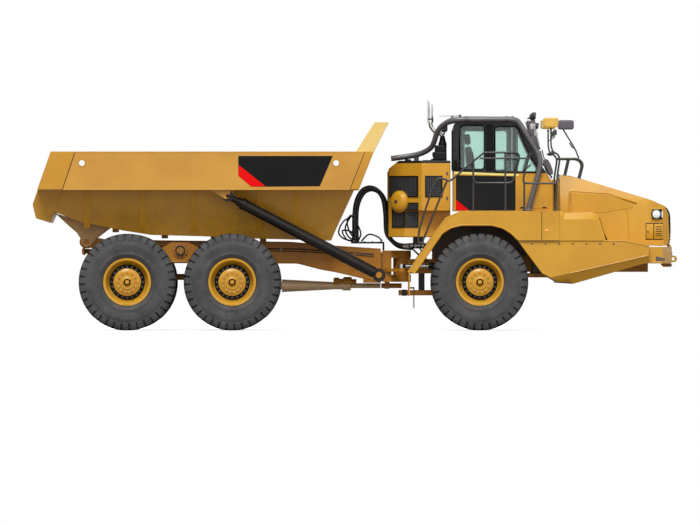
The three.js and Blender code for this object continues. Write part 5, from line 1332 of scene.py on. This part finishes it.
def chassis_details():
    """Welds, gussets, pipes, caps, lamps and joints on the rear frame, the walking beams and the front
    axle."""
    rear = []
    for s in (1, -1):
        y = s * 0.4
        rear += [
            tube([(0.4, y, 1.316), (-0.31, y, 1.362), (-1.04, y, 1.425), (-4.02, y, 1.47)], 0.008, 8),
            tube([(0.4, y, 0.8), (-0.31, y, 0.955), (-0.93, y, 1.092), (-3.94, y, 1.104)], 0.008, 8),
            rows_of(slab(box_of(-0.05, 0.985, 0.03, 1.26), s * 0.395, s * 0.412, 0.004),
                    [(0, 0, 0), (-0.42, 0, 0.035)]),
            # brake pipes clipped along the rail
            tube([(0.3, s * 0.409, 1.24), (-0.9, s * 0.409, 1.32), (-3.6, s * 0.409, 1.365)],
                 0.009, 8, number=1),
            tube([(0.3, s * 0.409, 1.205), (-0.9, s * 0.409, 1.285), (-3.6, s * 0.409, 1.33)],
                 0.007, 8, number=1),
            rows_of(brick((-1.22, s * 0.402, 1.28), (-1.18, s * 0.424, 1.345), 0.003, number=2),
                    [(-0.55 * k, 0, 0.008 * k) for k in range(4)]),
            # cap over the walking beam's pivot: ring, bolts
            turned([(0, 0), (0, 0.076), (0.006, 0.08), (0.012, 0.078), (0.016, 0.05), (0.016, 0)],
                   (BEAM_X, s * 0.7055, BEAM_Z), (0, s, 0), 36),
            turned([(0, 0.054), (0, 0.082), (0.022, 0.08), (0.022, 0.058)], (BEAM_X, s * 0.7055, BEAM_Z),
                   (0, s, 0), 36, 1),
            ring_of(hexagon((BEAM_X + 0.03, s * 0.721, BEAM_Z), (0, s, 0), 0.009, 0.008, number=2),
                    (BEAM_X, 0, BEAM_Z), (0, 1, 0), 3),
        ]
    rear += [
        # tail cross beam's lamps: plates with round red and amber lenses
        brick((-4.43, -0.42, 1.225), (-4.405, 0.42, 1.345), 0.006),
        brick((-4.405, -0.03, 1.245), (-4.05, 0.03, 1.325), 0.006),
    ]
    for s in (1, -1):
        rear += [
            turned([(0, 0), (0, 0.045), (0.014, 0.043), (0.016, 0)], (-4.431, s * 0.33, 1.285),
                   (-1, 0, 0), 24, 3),
            turned([(0, 0), (0, 0.036), (0.012, 0.034), (0.014, 0)], (-4.431, s * 0.2, 1.285),
                   (-1, 0, 0), 24, 4),
        ]
    rear.append(turned([(-0.355, 0), (-0.355, 0.06), (-0.33, 0.074), (-0.27, 0.074), (-0.26, 0.054),
                        (-0.2, 0.054),
                        (-0.19, 0.084), (-0.06, 0.084), (-0.05, 0.048), (0.02, 0.048), (0.02, 0)],
                       (0, 0, 0.785), AHEAD, 28))
    piece("rear_frame_trim", rear, [SHADED_FRAME_YELLOW, CYLINDER, IRON, RED_LENS, AMBER], "rear_chassis")

    beams = []
    for s in (1, -1):
        y = s * 0.68
        beams += [
            tube([(-1.99, y - s * 0.002, 1.012), (-2.4, y - s * 0.002, 1.012), (-2.55, y - s * 0.002, 1.112),
                  (-3.15, y - s * 0.002, 1.112), (-3.3, y - s * 0.002, 1.012), (-3.69, y - s * 0.002, 1.012)],
                 0.008, 8),
            turned([(0, 0.083), (0, 0.122), (0.008, 0.13), (0.014, 0.126), (0.018, 0.11), (0.018, 0.083)],
                   (BEAM_X, y, BEAM_Z), (0, s, 0), 40),
            ring_of(hexagon((BEAM_X + 0.108, y + s * 0.016, BEAM_Z), (0, s, 0), 0.008, 0.008, number=1),
                    (BEAM_X, 0, BEAM_Z), (0, 1, 0), 10),
        ]
    piece("walking_beam_trim", beams, [SHADED_FRAME_YELLOW, IRON], "rear_chassis")

    front = []
    for s in (1, -1):
        # torque rod, brake chamber with its hose, and strut coils beside the front axle
        front += [
            tube([(2.1, s * 0.62, 0.73), (2.36, s * 0.6, 0.78), (2.75, s * 0.34, 1.02)], 0.026,
                 14, bend=0.05),
            turned([(0, 0), (0, 0.07), (0.02, 0.082), (0.1, 0.082), (0.11, 0.07), (0.15, 0.066), (0.16, 0)],
                   (1.8, s * 0.7, 0.86), (0, s, 0.0), 28, 1),
            tube([(1.8, s * 0.7, 0.94), (1.7, s * 0.6, 1.05), (1.55, s * 0.4, 1.12), (1.5, s * 0.325, 1.12)],
                 0.01, 8, bend=0.05, number=2),
            rows_of(turned([(0, 0.058), (0, 0.07), (0.008, 0.07), (0.008, 0.058)], (2.016, s * 0.56, 1.175),
                           UP, 28, 1), [(0, 0, 0.024 * k) for k in range(9)]),
        ]
    front += [
        # pull arm of the front axle, under the hitch, with the link that carries it
        brick((0.705, -0.075, 0.567), (1.86, 0.075, 0.655), 0.01, number=3),
        brick((1.03, -0.06, 0.64), (1.13, 0.06, 0.96), 0.012, number=1),
        rows_of(hexagon((1.08, 0.06, 0.7), (0, 1, 0), 0.014, 0.01, number=1),
                [(0, 0, 0.07 * k) for k in range(4)]),
        rows_of(hexagon((1.08, -0.06, 0.7), (0, -1, 0), 0.014, 0.01, number=1),
                [(0, 0, 0.07 * k) for k in range(4)]),
        brick((0.76, -0.085, 0.56), (0.84, 0.085, 0.662), 0.01, number=1),
    ]
    piece("front_axle_trim", front, [GREY, CYLINDER, HOSE, SHADED_FRAME_YELLOW], "tractor")


HOIST_LOW, HOIST_HIGH = np.array((0.385, 0.7, 0.9)), np.array((-2.063, 1.23, 2.18))


def hoist_details():
    """Two rings on each hoist barrel: a station lies at low + d (high - low) / |high - low|, with y
    mirrored."""
    run = HOIST_HIGH - HOIST_LOW
    axis = run / np.linalg.norm(run)
    for side, s in SIDES:
        flip = np.array((1, s, 1))
        at = lambda d: (HOIST_LOW + axis * d) * flip
        way = axis * flip
        barrel = [
            turned([(0, 0.088), (0, 0.0955), (0.004, 0.0975), (0.056, 0.0975), (0.06, 0.0955), (0.06, 0.088)],
                   at(2.5), way, 32),
            turned([(0, 0.088), (0, 0.0965), (0.05, 0.0965), (0.05, 0.088)], at(0.62), way, 32),
        ]
        piece(f"hoist_barrel_trim_{side}", barrel, [CYLINDER, IRON], f"hoist_barrel_{side}")


def hoses():
    """Hydraulic hoses that leave a plate on the hitch, rise over the steering axis and go into the tractor:
    wrapped tubes with crimped ends."""
    plate = [
        brick((-0.07, -0.13, 1.412), (0.47, 0.13, 1.44), 0.006),
        brick((0.445, -0.125, 1.3), (0.475, 0.125, 1.43), 0.005),
        brick((-0.055, -0.125, 1.438), (-0.03, 0.125, 1.56), 0.005),
        brick((-0.05, -0.115, 1.85), (0.03, 0.115, 1.905), 0.008, number=1),
        tube([(-0.04, -0.07, 1.44), (-0.04, -0.07, 1.87)], 0.012, 10, number=1),
        tube([(-0.04, 0.07, 1.44), (-0.04, 0.07, 1.87)], 0.012, 10, number=1),
        rows_of(hexagon((0.02, -0.1, 1.44), UP, 0.012, 0.01, number=2),
                [(0.13 * k, 0.2 * j, 0) for k in range(4) for j in range(2)]),
        rows_of(turned([(0, 0), (0, 0.024), (0.05, 0.024), (0.052, 0.018), (0.075, 0.018), (0.075, 0)],
                       (0.0, -0.075, 1.438), UP, 12, 2), [(0, 0.05 * k, 0) for k in range(4)]),
    ]
    piece("hose_plate", plate, [BLACK, CYLINDER, IRON], "hitch")
    valves = [
        brick((0.87, -0.24, 1.33), (1.16, 0.24, 1.42), 0.008),
        brick((0.94, -0.2, 1.415), (1.12, 0.2, 1.52), 0.008),
        rows_of(turned([(0, 0), (0, 0.044), (0.05, 0.044), (0.055, 0.038), (0.095, 0.038), (0.095, 0)],
                       (0.872, -0.1425, 1.372), (-1, 0, 0), 18, 1), [(0, 0.095 * k, 0) for k in range(4)]),
        rows_of(hexagon((0.92, -0.241, 1.375), (0, -1, 0), 0.018, 0.02, number=1),
                [(0.06 * k, 0, 0) for k in range(4)]),
        rows_of(hexagon((0.92, 0.241, 1.375), (0, 1, 0), 0.018, 0.02, number=1),
                [(0.06 * k, 0, 0) for k in range(4)]),
        tube(smooth_path([(0.95, -0.24, 1.36), (0.93, -0.33, 1.33), (1.02, -0.36, 1.24),
                          (1.14, -0.34, 1.12)]),
             0.015, 10, number=2),
        tube(smooth_path([(1.06, -0.24, 1.36), (1.05, -0.31, 1.34), (1.1, -0.33, 1.25), (1.18, -0.3, 1.12)]),
             0.013, 10, number=2),
    ]
    piece("hose_valve_block", valves, [CYLINDER, ALUMINIUM, HOSE], "tractor")
    thick = [(-0.005, 1.46), (-0.01, 1.88), (0.02, 2.1), (0.11, 2.27), (0.24, 2.325), (0.37, 2.27),
             (0.455, 2.13), (0.49, 1.9), (0.505, 1.62), (0.56, 1.5), (0.68, 1.4), (0.84, 1.372), (0.9, 1.372)]
    for k, y in enumerate((-0.075, -0.025, 0.025, 0.075)):
        shift = 0.03 * (k % 2)
        path = smooth_path([(x + shift, y * (1.0 if x < 0.4 else 1.9), z - shift) for x, z in thick])
        made = piece(f"hydraulic_hose_{k + 1}", [tube(path, 0.036, 14)], HOSE, None, crease=60)
        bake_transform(made)
    loops = [
        [(-0.02, -0.1, 1.5), (-0.1, -0.12, 1.62), (-0.13, -0.12, 1.78), (-0.07, -0.1, 1.87),
         (-0.02, -0.08, 1.8)],
        [(-0.03, 0.1, 1.46), (-0.13, 0.12, 1.55), (-0.16, 0.1, 1.68), (-0.08, 0.09, 1.84),
         (-0.03, 0.07, 1.86)],
        [(-0.04, -0.05, 1.45), (-0.2, -0.09, 1.5), (-0.27, -0.1, 1.6), (-0.2, -0.08, 1.76),
         (-0.06, -0.05, 1.86)],
        [(0.02, 0.05, 1.45), (-0.06, 0.1, 1.6), (-0.21, 0.09, 1.62), (-0.14, 0.06, 1.48),
         (-0.04, 0.02, 1.45)],
        [(0.05, -0.06, 1.45), (0.09, -0.1, 1.58), (0.03, -0.1, 1.74), (-0.01, -0.08, 1.86)],
        [(0.1, 0.04, 1.45), (0.22, 0.0, 1.56), (0.37, -0.04, 1.52), (0.44, -0.06, 1.45)],
    ]
    thin = [tube(smooth_path(p), 0.0135, 10) for p in loops]
    piece("pilot_hoses", thin, HOSE, "hitch", crease=60)


def smooth_path(points, steps=8):
    """A curve through points: between each two, the cubic whose slopes are the chords of their neighbours."""
    p = np.asarray(points, float)
    p = np.concatenate([[2 * p[0] - p[1]], p, [2 * p[-1] - p[-2]]])
    t = np.linspace(0, 1, steps, endpoint=False)[:, None]
    out = [0.5 * (2 * b + (c - a) * t + (2 * a - 5 * b + 4 * c - d) * t ** 2 + (3 * b - a - 3 * c + d) * t ** 3)
           for a, b, c, d in zip(p[:-3], p[1:-2], p[2:-1], p[3:])]
    return np.concatenate(out + [p[-2:-1]])


# ---------------------------------------------------------------- CAD nodes with their edges and finishes
# painted highlight: the black roof bar painted mid grey, the grey of its highlight
BAR_HIGHLIGHT_GREY = paint("roof_bar_painted_highlight_grey", (84, 80, 81), (94, 90, 90), rough=0.36, dust=0.2)
RAIL_FINISH = paint("rail_black", (26, 27, 28), (38, 38, 38), rough=0.36, dust=0.2)
AMBER_SHELL = paint("mirror_shell_amber", (214, 168, 52), (200, 150, 44), dust=0.0)
MIRROR_SHELL = moulded("mirror_shell_grey", (84, 80, 86))
ALUMINIUM = steel("cast_aluminium", (196, 194, 192), rough=0.4, metal=0.6, turned_grain=False)
# painted shade: dark brown for the arch lining, the body yellow as it looks in shade
ARCH_SHADE_BROWN = paint("arch_liner_painted_shade_brown", (66, 44, 24), (54, 36, 22), rough=0.6, dust=0.2, coat=0.0)
GRIP = moulded("grip_strip", (46, 44, 42), grain=420.0, rough=0.85, depth=0.0015)
FLAP = moulded("mud_flap_rubber", (30, 29, 28), grain=140.0, rough=0.75)
CAB_SHELL = paint("cab_two_tone", (206, 150, 42), (198, 141, 36), coat=0.1, shine=0.2, upper=(27, 28, 29),
                  split=BELT_Z)
COOLING = paint("cooling_box_two_tone", (206, 150, 42), (198, 141, 36), coat=0.1, shine=0.2,
                upper=(26, 26, 27), split=LID_Z)
BED = bed_floor_finish()
SHAFT_TAN = paint("shaft_tan", (206, 172, 128), (190, 156, 112), rough=0.45, dust=0.15, soil_and_shade=(150, 118, 80))
# painted highlight: a paler copy of the bed yellow on the spill guard, for its lit top
GUARD_HIGHLIGHT_YELLOW = paint("spill_guard_painted_highlight_yellow", (226, 192, 108), (218, 182, 96), rough=0.4, dust=0.1)

FORMS = [
    # node, finish, slot, bevel
    ("front_frame", SHADED_FRAME_YELLOW, "chassis_grey", 0.005), ("front_axle", SHADED_FRAME_YELLOW, "chassis_grey", 0.0),
    ("engine_block", GREY, "chassis_grey", 0.02), ("bumper", YELLOW, "yellow_paint", 0.01),
    ("cab_shell", CAB_SHELL, "cab_black", 0.01), ("console", CAB_BLACK, "cab_black", 0.012),
    ("cooling_box", COOLING, "yellow_paint", 0.014), ("fender_left", YELLOW, "yellow_paint", 0.012),
    ("fender_right", YELLOW, "yellow_paint", 0.012), ("cab_door", CAB_SHELL, "cab_black", 0.006),
    ("hitch", SHADED_FRAME_YELLOW, "yellow_paint", 0.006), ("rear_frame", SHADED_FRAME_YELLOW, "yellow_paint", 0.006),
    ("middle_axle", SHADED_FRAME_YELLOW, "chassis_grey", 0.0), ("rear_axle", SHADED_FRAME_YELLOW, "chassis_grey", 0.0),
    ("rear_shaft", SHAFT_TAN, "chassis_grey", 0.0), ("walking_beam_left", SHADED_FRAME_YELLOW,
                                                     "yellow_paint", 0.008),
    ("walking_beam_right", SHADED_FRAME_YELLOW, "yellow_paint", 0.008), ("dump_body", BED, "yellow_paint", 0.008),
    ("spill_guard", GUARD_HIGHLIGHT_YELLOW, "yellow_paint", 0.006),
] + [(f"{part}_{side}", finish, slot, 0.0) for side, _ in SIDES for part, finish, slot in (
    ("steer_barrel", CYLINDER, "black_paint"), ("steer_rod", ROD, "rod_chrome"),
    ("hoist_barrel", CYLINDER, "black_paint"), ("hoist_stage", CYLINDER, "rod_chrome"),
    ("hoist_rod", CYLINDER, "rod_chrome"))]


def bulkhead():
    """The rubber-edged panel that closes the gap between the cab's foot and the hood, and stays with the
    tractor."""
    shapes = [brick((3.212, -0.8, 1.939), (3.258, 0.8, 2.44), 0.006),
              brick((3.25, -0.66, 1.939), (3.335, 0.66, 2.4), 0.006),
              tube([(3.236, -0.796, 1.95), (3.236, -0.796, 2.444), (3.236, 0.796, 2.444),
                    (3.236, 0.796, 1.95)], 0.016,
                   10, bend=0.05, number=1)]
    piece("engine_bulkhead", shapes, [YELLOW, SEAL], "tractor")


studio()
floor()
bulkhead()
for node, finish, slot, edge in FORMS:
    softened(node, finish, slot, edge, crease=34 if edge else 42)
hood_form()
for side, sign in SIDES:
    skirt(side, sign)
glazing()
for side, sign in SIDES:
    for axle in WHEEL_X:
        tyre(axle, side, sign)
        wheel(axle, side, sign)
for make in (bed_details, cab_details, door_details, seat, roof_bar, exhaust, intake, cooling_details,
             hood_details, rails, mirrors, lamps, fender_details, chassis_details, hoist_details, hoses):
    make()
